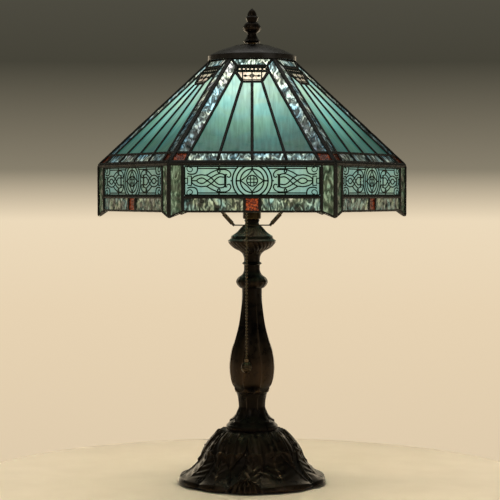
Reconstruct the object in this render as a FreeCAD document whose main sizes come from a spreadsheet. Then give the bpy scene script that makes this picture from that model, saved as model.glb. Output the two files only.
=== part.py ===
"""A stained glass table lamp: a six-sided leaded shade on a turned, cast stand.

Millimetres, +Z up. The origin is the middle of the felt pad's underside, on the lamp's own axis.
The front of the lamp faces -Y, and the pull chain hangs on that side.
"""

import FreeCAD, Part

import math
import os

import Sketcher

from FreeCAD import Placement, Rotation, Vector

OUT = "parts"

# The driving dimensions, in millimetres and degrees. Each one becomes a cell of the sheet.
DIMENSIONS = {
    # shade: a hexagonal pyramid over a vertical skirt
    "shade_corner": 203.0,
    "shade_top_corner": 55.5,
    "shade_top_level": 557.0,
    "skirt_top_level": 420.0,
    "skirt_bottom_level": 360.0,
    "skirt_tip_level": 352.5,
    "came_thickness": 4.0,
    "came_width": 3.0,
    "hip_width": 6.0,
    "rail_width": 4.0,
    "sill_width": 4.0,
    "glass_thickness": 2.6,
    "glass_setback": 0.9,
    "post_width": 17.2,
    # rows of the sloping face, as shares of its slope measured down from the top edge
    "jewel_top_share": 0.078,
    "jewel_wide_share": 0.135,
    "jewel_foot_share": 0.238,
    "row_share": 0.909,
    # half widths on the sloping face
    "jewel_top_half": 19.6,
    "jewel_wide_half": 21.7,
    "jewel_foot_half": 12.7,
    "strip_foot_half": 75.9,
    "mullion_foot_half": 39.2,
    # rows of the skirt, measured down from its top edge
    "band_depth": 42.0,
    "red_half": 9.3,
    # filigree sheets that lie over the jewel and the band
    "filigree_thickness": 0.6,
    "filigree_gap": 0.12,
    "filigree_line": 1.0,
    "filigree_edge": 1.8,
    "filigree_play": 0.06,
    # brass ring, wheel and stud that carry the shade
    "ring_inner_apothem": 40.4,
    "ring_height": 1.5,
    "wheel_outer": 42.0,
    "wheel_rim": 4.0,
    "wheel_height": 1.5,
    "wheel_hub": 12.0,
    "wheel_arm_width": 7.0,
    "stud_bore": 3.25,
    "stud_radius": 3.17,
    "stud_top_level": 590.0,
    # cap and finial
    "cap_radius": 58.0,
    "cap_foot_level": 556.1,
    "cap_shoulder_level": 563.5,
    "cap_step_radius": 34.0,
    "cap_step_level": 573.0,
    "cap_crown_radius": 9.0,
    "cap_top_level": 578.4,
    "cap_wall": 1.1,
    "cap_edge_drop": 1.2,
    "cap_edge_inset": 2.4,
    "cap_rounding": 1.0,
    "cap_inner_drop": 1.4,
    "cap_crown_foot": 32.0,
    "cap_step_rise": 0.4,
    "cap_edge_arc": 2.2,
    "cap_slope_arc": 90.0,
    "cap_crown_arc": 70.0,
    "cap_vent_radius": 4.0,
    "cap_vent_circle": 23.0,
    "washer_radius": 5.4,
    "washer_height": 1.6,
    "finial_foot_radius": 10.9,
    "finial_foot_height": 2.4,
    "finial_waist_radius": 6.1,
    "finial_waist_level": 593.1,
    "finial_bulb_radius": 11.1,
    "finial_bulb_level": 599.9,
    "finial_neck_radius": 6.3,
    "finial_neck_level": 607.4,
    "finial_collar_radius": 8.4,
    "finial_collar_level": 613.3,
    "finial_spear_radius": 6.2,
    "finial_spear_level": 615.6,
    "finial_tip_level": 625.4,
    "finial_tip_radius": 0.6,
    "finial_bore_depth": 11.6,
    "finial_foot_bevel": 1.5,
    "finial_foot_arc": 13.0,
    "finial_bulb_lower_arc": 6.8,
    "finial_bulb_upper_arc": 9.0,
    "finial_spear_arc": 22.0,
    # base casting and what is under it
    "pad_radius": 90.0,
    "pad_height": 1.5,
    "foot_radius": 92.0,
    "rim_radius": 95.3,
    "rim_low_level": 4.0,
    "rim_level": 8.0,
    "skirt_hollow": 80.0,
    "dome_foot_radius": 66.0,
    "dome_foot_level": 33.5,
    "dome_bulge": 60.0,
    "dome_top_radius": 38.0,
    "base_top_level": 70.5,
    "base_wall": 4.0,
    "base_web": 6.5,
    "ballast_outer": 74.0,
    "ballast_inner": 24.0,
    "ballast_height": 8.0,
    "inlet_level": 17.2,
    "inlet_bore": 3.6,
    "inlet_body": 5.0,
    "inlet_flange": 6.8,
    "inlet_flange_height": 2.0,
    "inlet_outer_end": 93.5,
    "inlet_length": 21.0,
    "inlet_boss": 9.0,
    "inlet_boss_start": 74.0,
    # threaded rod through the stand
    "rod_radius": 4.85,
    "rod_bore": 3.1,
    "rod_hole": 4.95,
    "rod_foot_level": 54.0,
    "rod_top_level": 357.0,
    "nut_across_flats": 14.0,
    "nut_height": 5.0,
    "rod_washer_radius": 12.0,
    "rod_washer_height": 1.6,
    # turned stand, from the base upwards
    "collar_radius": 35.0,
    "collar_bead_level": 73.5,
    "collar_top_radius": 33.0,
    "collar_top_level": 78.5,
    "collar_step_radius": 30.0,
    "collar_step_level": 82.5,
    "neck_radius": 17.6,
    "neck_level": 101.0,
    "collar_bead_arc": 4.0,
    "neck_flare_arc": 28.0,
    "neck_rise_arc": 70.0,
    "vase_foot_radius": 20.5,
    "vase_foot_level": 119.7,
    "vase_belly_radius": 29.3,
    "vase_belly_level": 153.0,
    "vase_shoulder_radius": 23.5,
    "vase_shoulder_level": 185.3,
    "vase_top_radius": 13.3,
    "vase_taper_level": 250.0,
    "vase_top_level": 257.4,
    "vase_wall": 3.6,
    "vase_lining": 4.5,
    "vase_foot_arc": 67.4,
    "vase_belly_arc": 92.8,
    "vase_taper_arc": 280.0,
    "knop_radius": 20.8,
    "knop_level": 265.8,
    "knop_neck_radius": 10.6,
    "knop_neck_level": 282.5,
    "knop_foot_radius": 14.1,
    "knop_shoulder_radius": 16.3,
    "knop_shoulder_level": 272.8,
    "knop_foot_arc": 13.0,
    "knop_belly_arc": 9.0,
    "knop_neck_arc": 12.0,
    "knop_top_level": 288.3,
    "bowl_ring_radius": 13.3,
    "bowl_ring_level": 290.4,
    "bowl_ring_top_level": 292.5,
    "bowl_throat_level": 296.5,
    "bowl_flare_radius": 16.7,
    "bowl_flare_level": 307.7,
    "bowl_rim_radius": 31.9,
    "bowl_rim_level": 320.3,
    "cover_step_radius": 28.3,
    "cover_step_level": 322.8,
    "cover_shoulder_level": 326.6,
    "cover_neck_radius": 14.6,
    "cover_neck_level": 337.6,
    "cover_top_radius": 12.0,
    "cover_top_level": 340.0,
    "crown_wall": 2.6,
    "rim_land": 1.0,
    "bowl_throat_arc": 16.0,
    "bowl_flare_arc": 26.0,
    "cover_arc": 24.0,
    "cover_lining_arc": 26.0,
    # saddle, harp and sleeves
    "saddle_thickness": 1.5,
    "saddle_width": 12.0,
    "saddle_half": 24.0,
    "arm_angle": 48.0,
    "tongue_width": 2.4,
    "tongue_length": 12.0,
    "tongue_play": 0.6,
    "harp_wire": 1.8,
    "harp_leg_start": 13.0,
    "harp_leg_run": 27.0,
    "harp_half": 56.0,
    "harp_top_half": 6.0,
    "harp_top_level": 549.2,
    "boss_radius": 8.0,
    "sleeve_radius": 2.7,
    "sleeve_bore": 2.1,
    "sleeve_start": 3.0,
    "sleeve_length": 17.0,
    # socket
    "neck_ring_radius": 9.6,
    "neck_ring_waist": 9.0,
    "neck_ring_flange": 10.2,
    "neck_ring_step": 2.5,
    "neck_ring_lip": 2.0,
    "socket_foot_level": 349.0,
    "socket_hub_radius": 12.0,
    "socket_hub_level": 359.5,
    "socket_radius": 18.0,
    "socket_joint_level": 371.0,
    "socket_top_level": 418.0,
    "socket_wall": 0.8,
    "socket_bevel": 0.5,
    "socket_rim_height": 3.0,
    "socket_floor": 2.0,
    "socket_lip_height": 2.0,
    "liner_gap": 1.0,
    "socket_seat_radius": 19.2,
    "liner_outer": 17.1,
    "liner_wall": 0.8,
    "block_radius": 16.2,
    "block_foot_level": 372.5,
    "block_top_level": 392.0,
    "thread_shell_outer": 14.3,
    "thread_shell_wall": 0.5,
    "thread_shell_top": 415.0,
    "contact_radius": 4.0,
    "contact_height": 1.6,
    # pull chain and the switch that it works
    "chain_turn": -10.4,
    "chain_reach": 39.0,
    "chain_level": 384.0,
    "bead_radius": 1.6,
    "bead_pitch": 4.2,
    "chain_link_radius": 0.5,
    "bell_inner_end": 15.6,
    "bell_outer_end": 34.0,
    "bell_outer": 3.4,
    "bell_bore": 2.4,
    "bell_mouth": 5.4,
    "bell_mouth_length": 3.0,
    "bell_edge": 0.7,
    "running_gap": 0.05,
    "knob_radius": 7.4,
    "knob_level": 156.5,
    "knob_sink": 0.5,
    "chain_cup_radius": 2.6,
    "chain_cup_height": 4.5,
    "feed_start": 3.6,
    "corner_setback": 2.2,
    "corner_drop": 1.6,
    "swivel_level": 379.0,
    "slot_width": 9.0,
    "slot_height": 14.0,
    "slot_start": -4.5,
    "slot_length": 26.0,
    "slot_below_pin": 3.0,
    "pin_bearing": 3.5,
    "passage_start": 5.0,
    "passage_length": 40.0,
    "lever_pin_level": 376.5,
    "lever_pin_radius": 1.2,
    "lever_offset": 2.0,
    "lever_length": 9.5,
    "lever_width": 3.0,
    "lever_depth": 3.0,
    "lever_hub_radius": 2.2,
    "lever_lean": 20.0,
    "spring_radius": 1.9,
    "spring_wire": 0.35,
    "spring_pitch": 1.0,
    "spring_gap": 0.3,
    # bulb
    "bulb_foot_level": 394.0,
    "bulb_cap_radius": 13.1,
    "bulb_cap_level": 418.5,
    "bulb_tip_radius": 4.6,
    "bulb_tip_height": 2.4,
    "bulb_neck_radius": 14.2,
    "bulb_neck_level": 428.0,
    "bulb_radius": 29.5,
    "bulb_centre_level": 472.0,
    "bulb_wall": 0.9,
    "bulb_seal": 2.0,
    "bulb_neck_arc": 75.0,
    "stem_radius": 4.5,
    "stem_height": 34.0,
}

FACES = 6
CAP_VENTS = 12
FEED_BEADS = 8
SPRING_TURNS = 1.5
HEX_TURN = 60.0
# Where the filigree's lines lie: in mm from a jewel's middle, or as shares of a panel's half size.
JEWEL_BAR_SHARE = 0.34
JEWEL_UPRIGHTS = (-9.0, -3.0, 3.0, 9.0)
BAND_MIDDLE_HOOPS = (0.99, 0.66)
BAND_SIDE_HOOPS = ((0.46, 0.62), (0.76, 0.36))
BAND_BARS = (-0.74, 0.0, 0.74)


class Size:
    """A length worked out from the sheet: its number, and the expression that gives it."""

    def __init__(self, number, text):
        self.number = float(number)
        self.text = text

    def __add__(self, other):
        other = as_size(other)
        return Size(self.number + other.number, f"({self.text} + {other.text})")

    def __sub__(self, other):
        other = as_size(other)
        return Size(self.number - other.number, f"({self.text} - {other.text})")

    def __mul__(self, other):
        other = as_size(other)
        return Size(self.number * other.number, f"({self.text} * {other.text})")

    def __truediv__(self, other):
        other = as_size(other)
        return Size(self.number / other.number, f"({self.text} / {other.text})")

    def __float__(self):
        return self.number


def as_size(value):
    """A plain number as a Size, or the Size itself."""
    return value if isinstance(value, Size) else Size(value, str(float(value)))


class Sheet:
    """The document's spreadsheet of driving dimensions. Each one is read as an attribute."""

    def __init__(self, document):
        self.cells = document.addObject("Spreadsheet::Sheet", "Sizes")
        for row, (alias, value) in enumerate(DIMENSIONS.items(), start=1):
            self.cells.set(f"A{row}", alias)
            self.cells.set(f"B{row}", str(value))
            self.cells.setAlias(f"B{row}", alias)

    def __getattr__(self, alias):
        return Size(DIMENSIONS[alias], f"Sizes.{alias}")


doc = FreeCAD.newDocument("TableLamp")
dim = Sheet(doc)
doc.recompute()
nodes = []


def keep(feature, label):
    """Names a finished sub-part, so that it is written to a file of that name."""
    feature.Label = label
    nodes.append((label, feature))
    return feature


def bind(feature, **sizes):
    """Sets properties of a feature from sizes, each bound to the sheet by its expression."""
    for name, size in sizes.items():
        size = as_size(size)
        feature.setExpression(name, size.text)


# ---------------------------------------------------------------- turned pieces


class Arc:
    """Marks the next stretch of an outline as an arc. A positive side bulges to the left of its run."""

    def __init__(self, radius, side):
        self.radius = as_size(radius)
        self.side = side


def counter_clockwise_arc(start, end, radius):
    """The short arc that runs counter-clockwise from start to end."""
    half = (end - start) * 0.5
    rise = math.sqrt(max(radius * radius - half.Length * half.Length, 0.0))
    centre = start + half + Vector(-half.y, half.x, 0).normalize() * rise
    first = math.atan2(start.y - centre.y, start.x - centre.x)
    last = math.atan2(end.y - centre.y, end.x - centre.x)
    circle = Part.Circle(centre, Vector(0, 0, 1), radius)
    return Part.ArcOfCircle(circle, first, last if last > first else last + 2 * math.pi)


def draw_outline(sketch, outline):
    """Draws a closed outline of (x, y) points and Arc marks, every point and radius tied to the sheet."""
    points = [item for item in outline if not isinstance(item, Arc)]
    marks = {}
    for i, item in enumerate(outline):
        if isinstance(item, Arc):
            marks[sum(not isinstance(x, Arc) for x in outline[:i]) - 1] = item
    places = [Vector(float(x), float(y), 0) for x, y in points]
    starts = []
    for i, place in enumerate(places):
        following = places[(i + 1) % len(places)]
        if i in marks and marks[i].side > 0:
            arc = counter_clockwise_arc(following, place, float(marks[i].radius))
            starts.append((sketch.addGeometry(arc, False), 2))
        elif i in marks:
            arc = counter_clockwise_arc(place, following, float(marks[i].radius))
            starts.append((sketch.addGeometry(arc, False), 1))
        else:
            geometry = sketch.addGeometry(Part.LineSegment(place, following), False)
            starts.append((geometry, 1))
    for i, (geometry, start) in enumerate(starts):
        other, other_start = starts[(i + 1) % len(starts)]
        sketch.addConstraint(Sketcher.Constraint("Coincident", geometry, 3 - start, other, other_start))
    for (geometry, start), (x, y) in zip(starts, points):
        tie_point(sketch, geometry, start, as_size(x), as_size(y))
    for i, mark in marks.items():
        geometry = starts[i][0]
        tie(sketch, Sketcher.Constraint("Radius", geometry, float(mark.radius)), mark.radius)


def tie(sketch, constraint, size):
    """Adds a constraint with a value and binds that value to the sheet."""
    number = sketch.addConstraint(constraint)
    if "Sizes" in size.text:
        sketch.setExpression(f"Constraints[{number}]", size.text)


def tie_point(sketch, geometry, point, x, y):
    """Fixes a point of the sketch at (x, y) from its origin."""
    if x.number == 0:
        sketch.addConstraint(Sketcher.Constraint("PointOnObject", geometry, point, -2))
    else:
        tie(sketch, Sketcher.Constraint("DistanceX", -1, 1, geometry, point, x.number), x)
    if y.number == 0:
        sketch.addConstraint(Sketcher.Constraint("PointOnObject", geometry, point, -1))
    else:
        tie(sketch, Sketcher.Constraint("DistanceY", -1, 1, geometry, point, y.number), y)


def sketch_in(body, role, name):
    """A new sketch of the body on one of its own origin planes."""
    sketch = body.newObject("Sketcher::SketchObject", name)
    plane = next(f for f in body.Origin.OriginFeatures if f.Role == role)
    sketch.AttachmentSupport = [(plane, "")]
    sketch.MapMode = "FlatFace"
    return sketch


def turned(label, outline):
    """A body turned about the lamp's axis from a closed outline of (radius, level) points."""
    body = doc.addObject("PartDesign::Body", f"{label}_body")
    sketch = sketch_in(body, "XZ_Plane", f"{label}_outline")
    draw_outline(sketch, outline)
    turn = body.newObject("PartDesign::Revolution", f"{label}_turn")
    turn.Profile = sketch
    turn.ReferenceAxis = (sketch, ["V_Axis"])
    turn.Angle = 360.0
    doc.recompute()
    return keep(body, label)


def ring(label, outer, inner, low, high):
    """A plain washer or tube on the lamp's axis, as a cylinder cut by a cylinder."""
    rim = doc.addObject("Part::Cylinder", f"{label}_rim")
    bind(rim, Radius=outer, Height=high - low)
    rim.setExpression("Placement.Base.z", low.text)
    hole = doc.addObject("Part::Cylinder", f"{label}_hole")
    bind(hole, Radius=inner, Height=(high - low) + 2)
    hole.setExpression("Placement.Base.z", (low - 1).text)
    cut = doc.addObject("Part::Cut", f"{label}_cut")
    cut.Base = rim
    cut.Tool = hole
    return keep(cut, label)


def disc(label, radius, low, high):
    """A plain cylinder on the lamp's axis."""
    cylinder = doc.addObject("Part::Cylinder", f"{label}_disc")
    bind(cylinder, Radius=radius, Height=high - low)
    cylinder.setExpression("Placement.Base.z", low.text)
    return keep(cylinder, label)


def shaped(label, shape, placement=None):
    """A sub-part whose shape is worked out here from the sheet's sizes, drawn in place or then placed."""
    feature = doc.addObject("Part::Feature", f"{label}_shape")
    feature.Shape = shape
    feature.Placement = placement or Placement()
    return keep(feature, label)


# ---------------------------------------------------------------- base and stand


def base_casting():
    """The hollow cast foot: a flared skirt under a domed top, with a hole for the cord at the back."""
    wall = dim.base_wall
    top = dim.base_top_level
    body = turned(
        "base_casting",
        [
            (dim.foot_radius, dim.pad_height),
            (dim.rim_radius, dim.rim_low_level),
            (dim.rim_radius, dim.rim_level),
            Arc(dim.skirt_hollow, 1),
            (dim.dome_foot_radius, dim.dome_foot_level),
            Arc(dim.dome_bulge, -1),
            (dim.dome_top_radius, top),
            (dim.rod_hole, top),
            (dim.rod_hole, top - dim.base_web),
            (dim.dome_top_radius - wall - 2, top - dim.base_web),
            Arc(dim.dome_bulge - wall, 1),
            (dim.dome_foot_radius - wall, dim.dome_foot_level - 2),
            Arc(dim.skirt_hollow + wall, -1),
            (dim.foot_radius - wall, dim.rim_level - 2),
            (dim.foot_radius - wall, dim.pad_height),
        ],
    )
    boss = inlet_circle(body, "inlet_boss_circle", dim.inlet_boss)
    boss.setExpression("AttachmentOffset.Base.z", f"-({dim.inlet_boss_start.text})")
    pad = body.newObject("PartDesign::Pad", "inlet_boss")
    pad.Profile = boss
    pad.Reversed = True
    bind(pad, Length=dim.inlet_outer_end - dim.inlet_flange_height - dim.inlet_boss_start)
    doc.recompute()
    solid_volume = body.Shape.Volume
    pocket = body.newObject("PartDesign::Pocket", "inlet_hole")
    pocket.Profile = inlet_circle(body, "inlet_hole_circle", dim.inlet_body)
    pocket.Type = "ThroughAll"
    pocket.Reversed = False
    doc.recompute()
    hole_length = float(dim.inlet_outer_end - dim.inlet_flange_height - dim.inlet_boss_start)
    hole_volume = math.pi * float(dim.inlet_body) ** 2 * hole_length
    bored = solid_volume - body.Shape.Volume
    if bored < 0.9 * hole_volume or body.Shape.BoundBox.YMax < float(dim.rim_radius):
        raise RuntimeError(f"the cord hole took {solid_volume - body.Shape.Volume} of {hole_volume}")
    return body


def inlet_circle(body, name, radius):
    """A circle round the cord hole's axis, in the upright plane through the lamp's axis."""
    sketch = sketch_in(body, "XZ_Plane", name)
    centre = Vector(0, float(dim.inlet_level), 0)
    circle = sketch.addGeometry(Part.Circle(centre, Vector(0, 0, 1), float(radius)), False)
    tie(sketch, Sketcher.Constraint("Radius", circle, float(radius)), radius)
    tie_point(sketch, circle, 3, as_size(0), dim.inlet_level)
    return sketch


def inlet_bushing():
    """The flanged sleeve that guards the cord hole."""
    start = float(dim.inlet_outer_end - dim.inlet_length)
    level = float(dim.inlet_level)
    back = Vector(0, 1, 0)
    sleeve = Part.makeCylinder(float(dim.inlet_body), float(dim.inlet_length), Vector(0, start, level), back)
    flange_start = float(dim.inlet_outer_end - dim.inlet_flange_height)
    flange = Part.makeCylinder(
        float(dim.inlet_flange), float(dim.inlet_flange_height), Vector(0, flange_start, level), back
    )
    bore = Part.makeCylinder(
        float(dim.inlet_bore), float(dim.inlet_length) + 2, Vector(0, start - 1, level), back
    )
    return shaped("cord_bushing", sleeve.fuse(flange).removeSplitter().cut(bore))


def under_base():
    """Felt pad, ballast ring, and the washer and nut that draw the rod down."""
    disc("felt_pad", dim.pad_radius, as_size(0) * dim.pad_height, dim.pad_height)
    ring(
        "ballast_ring",
        dim.ballast_outer,
        dim.ballast_inner,
        dim.pad_height,
        dim.pad_height + dim.ballast_height,
    )
    web = dim.base_top_level - dim.base_web
    ring("rod_washer", dim.rod_washer_radius, dim.rod_hole, web - dim.rod_washer_height, web)
    nut = doc.addObject("Part::Prism", "rod_nut_hexagon")
    nut.Polygon = 6
    bind(nut, Circumradius=dim.nut_across_flats / math.sqrt(3), Height=dim.nut_height)
    nut_foot = web - dim.rod_washer_height - dim.nut_height
    nut.setExpression("Placement.Base.z", nut_foot.text)
    hole = doc.addObject("Part::Cylinder", "rod_nut_hole")
    bind(hole, Radius=dim.rod_hole, Height=dim.nut_height + 2)
    hole.setExpression("Placement.Base.z", (nut_foot - 1).text)
    cut = doc.addObject("Part::Cut", "rod_nut_cut")
    cut.Base = nut
    cut.Tool = hole
    keep(cut, "rod_nut")


def stand():
    """The turned pieces threaded on the rod, from the collar on the base to the cover of the crown."""
    hole = dim.rod_hole
    wall = dim.vase_wall
    turned(
        "column_foot",
        [
            (dim.collar_radius - wall, dim.base_top_level),
            (dim.collar_radius, dim.base_top_level),
            (dim.collar_radius, dim.collar_bead_level),
            Arc(dim.collar_bead_arc, -1),
            (dim.collar_top_radius, dim.collar_top_level),
            (dim.collar_step_radius, dim.collar_step_level),
            Arc(dim.neck_flare_arc, 1),
            (dim.neck_radius, dim.neck_level),
            Arc(dim.neck_rise_arc, 1),
            (dim.vase_foot_radius, dim.vase_foot_level),
            (hole, dim.vase_foot_level),
            (hole, dim.vase_foot_level - wall),
            (dim.neck_radius - wall, dim.vase_foot_level - wall),
            (dim.neck_radius - wall, dim.neck_level),
            Arc(dim.neck_flare_arc + wall, -1),
            (dim.collar_step_radius - wall, dim.collar_step_level - wall),
            (dim.collar_radius - wall, dim.collar_step_level - wall - 2),
        ],
    )
    turned(
        "column_vase",
        [
            (hole, dim.vase_foot_level),
            (dim.vase_foot_radius, dim.vase_foot_level),
            Arc(dim.vase_foot_arc, -1),
            (dim.vase_belly_radius, dim.vase_belly_level),
            Arc(dim.vase_belly_arc, -1),
            (dim.vase_shoulder_radius, dim.vase_shoulder_level),
            Arc(dim.vase_taper_arc, 1),
            (dim.vase_top_radius, dim.vase_taper_level),
            (dim.vase_top_radius, dim.vase_top_level),
            (hole, dim.vase_top_level),
            (hole, dim.vase_top_level - wall),
            (dim.vase_top_radius - wall, dim.vase_top_level - wall),
            (dim.vase_top_radius - wall, dim.vase_taper_level),
            Arc(dim.vase_taper_arc, -1),
            (dim.vase_shoulder_radius - wall, dim.vase_shoulder_level),
            Arc(dim.vase_belly_arc - dim.vase_lining, 1),
            (dim.vase_belly_radius - wall, dim.vase_belly_level),
            Arc(dim.vase_foot_arc - dim.vase_lining, 1),
            (dim.vase_foot_radius - wall, dim.vase_foot_level + wall),
            (hole, dim.vase_foot_level + wall),
        ],
    )
    turned(
        "column_knop",
        [
            (hole, dim.vase_top_level),
            (dim.knop_foot_radius, dim.vase_top_level),
            Arc(dim.knop_foot_arc, -1),
            (dim.knop_radius, dim.knop_level),
            Arc(dim.knop_belly_arc, -1),
            (dim.knop_shoulder_radius, dim.knop_shoulder_level),
            Arc(dim.knop_neck_arc, 1),
            (dim.knop_neck_radius, dim.knop_neck_level),
            (dim.knop_neck_radius, dim.knop_top_level),
            (hole, dim.knop_top_level),
        ],
    )
    shell = dim.crown_wall
    turned(
        "crown_bowl",
        [
            (hole, dim.knop_top_level),
            (dim.knop_neck_radius, dim.knop_top_level),
            (dim.bowl_ring_radius, dim.bowl_ring_level),
            (dim.knop_neck_radius, dim.bowl_ring_top_level),
            (dim.knop_neck_radius, dim.bowl_throat_level),
            Arc(dim.bowl_throat_arc, 1),
            (dim.bowl_flare_radius, dim.bowl_flare_level),
            Arc(dim.bowl_flare_arc, -1),
            (dim.bowl_rim_radius, dim.bowl_rim_level),
            (dim.bowl_rim_radius - shell - dim.rim_land, dim.bowl_rim_level),
            Arc(dim.bowl_flare_arc, 1),
            (dim.bowl_flare_radius, dim.bowl_flare_level + shell + dim.rim_land),
            (hole, dim.bowl_flare_level + shell + dim.rim_land),
        ],
    )
    turned(
        "crown_cover",
        [
            (dim.bowl_rim_radius - shell - dim.rim_land, dim.bowl_rim_level),
            (dim.bowl_rim_radius, dim.bowl_rim_level),
            (dim.cover_step_radius, dim.cover_step_level),
            (dim.cover_step_radius - dim.rim_land, dim.cover_shoulder_level),
            Arc(dim.cover_arc, 1),
            (dim.cover_neck_radius, dim.cover_neck_level),
            (dim.cover_top_radius, dim.cover_top_level),
            (hole, dim.cover_top_level),
            (hole, dim.cover_top_level - shell),
            (dim.cover_top_radius - shell, dim.cover_top_level - shell),
            Arc(dim.cover_lining_arc, -1),
            (dim.cover_step_radius - shell - dim.rim_land, dim.cover_shoulder_level - shell),
        ],
    )
    ring("lamp_rod", dim.rod_radius, dim.rod_bore, dim.rod_foot_level, dim.rod_top_level)


# ---------------------------------------------------------------- harp


def along_arm(side, distance, lift=0.0):
    """A point on the line of a harp leg, from the saddle's bend; side is -1 or 1."""
    angle = math.radians(float(dim.arm_angle))
    foot = float(dim.cover_top_level + dim.saddle_thickness / 2)
    x = float(dim.saddle_half) + distance * math.cos(angle)
    return Vector(side * x, 0, foot + distance * math.sin(angle) + lift)


def arm_direction(side):
    """The unit vector up a harp leg."""
    angle = math.radians(float(dim.arm_angle))
    return Vector(side * math.cos(angle), 0, math.sin(angle))


def harp_saddle():
    """The flat strip under the socket, with a round tongue bent up at each end for the harp."""
    thick = float(dim.saddle_thickness)
    half = float(dim.saddle_half)
    width = float(dim.saddle_width)
    foot = float(dim.cover_top_level)
    strip = Part.makeBox(2 * half, width, thick, Vector(-half, -width / 2, foot))
    hole = Part.makeCylinder(float(dim.rod_hole), thick + 2, Vector(0, 0, foot - 1))
    shape = strip.cut(hole)
    for side in (-1, 1):
        start = along_arm(side, -1.0)
        tongue = Part.makeCylinder(
            float(dim.tongue_width) / 2 + float(dim.tongue_play),
            float(dim.tongue_length) + 1.0,
            start,
            arm_direction(side),
        )
        shape = shape.fuse(tongue)
    return shaped("harp_saddle", shape.removeSplitter())


def harp_path():
    """The centreline of half the harp's wire: up a leg, round two bends and in along the top."""
    half = float(dim.harp_half)
    flat = float(dim.harp_top_half)
    top = float(dim.harp_top_level)
    lean = arm_direction(1)
    leg_foot = along_arm(1, float(dim.harp_leg_start))
    leg_top = along_arm(1, float(dim.harp_leg_start + dim.harp_leg_run))
    corner = leg_top + lean * ((half - leg_top.x) / lean.x)
    upright_foot = corner + Vector(0, 0, (corner - leg_top).Length)
    shoulder = Vector(half, 0, top - (half - flat))
    crown = Vector(flat, 0, top)
    return [
        Part.LineSegment(leg_foot, leg_top).toShape(),
        tangent_arc(leg_top, lean, upright_foot),
        Part.LineSegment(upright_foot, shoulder).toShape(),
        tangent_arc(shoulder, Vector(0, 0, 1), crown),
        Part.LineSegment(crown, Vector(0, 0, top)).toShape(),
    ]


def tangent_arc(start, along, end):
    """The arc from start to end that leaves start along a unit direction."""
    chord = end - start
    turn = along.getAngle(chord)
    radius = chord.Length / (2 * math.sin(turn))
    across = (chord - along * chord.dot(along)).normalize()
    centre = start + across * radius
    middle = centre - across * (radius * math.cos(turn)) + along * (radius * math.sin(turn))
    return Part.Arc(start, middle, end).toShape()


def harp_frame():
    """The bent wire that arches over the bulb, with the boss and threaded stud on top."""
    radius = float(dim.harp_wire)
    path = Part.Wire(harp_path())
    start = along_arm(1, float(dim.harp_leg_start))
    section = Part.Wire([Part.makeCircle(radius, start, arm_direction(1))])
    half = path.makePipeShell([section], True, False)
    other_half = half.mirror(Vector(0, 0, 0), Vector(1, 0, 0))
    level = float(dim.harp_top_level)
    shelf = float(dim.shade_top_level - dim.wheel_height)
    boss = Part.makeCylinder(float(dim.boss_radius), shelf - level + radius, Vector(0, 0, level - radius))
    stud = Part.makeCylinder(float(dim.stud_radius), float(dim.stud_top_level) - shelf, Vector(0, 0, shelf))
    shaped("harp_frame", half.fuse([other_half, boss, stud]).removeSplitter())


def harp_sleeve(side, label):
    """The sleeve that slides down over the joint between a tongue and a harp leg."""
    start = along_arm(side, float(dim.sleeve_start))
    length = float(dim.sleeve_length)
    way = arm_direction(side)
    tube = Part.makeCylinder(float(dim.sleeve_radius), length, start, way)
    bore = Part.makeCylinder(float(dim.sleeve_bore), length + 2, start - way, way)
    return shaped(label, tube.cut(bore))


# ---------------------------------------------------------------- socket, switch and chain


def chain_way():
    """Turns a piece drawn along +X to face the way that the chain leaves, a little left of the front."""
    return Placement(Vector(0, 0, 0), Rotation(Vector(0, 0, 1), -90 + float(dim.chain_turn)))


def outward_cylinder(radius, start, length, level):
    """A cylinder that lies along +X, from a distance off the lamp's axis."""
    foot = Vector(float(start), 0, float(level))
    return Part.makeCylinder(float(radius), float(length), foot, Vector(1, 0, 0))


def pin_across(radius, length):
    """A cylinder across the slot of the switch block, centred on the lever's pin."""
    start = Vector(float(dim.lever_offset), -length / 2, float(dim.lever_pin_level))
    return Part.makeCylinder(float(radius), length, start, Vector(0, 1, 0))


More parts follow.
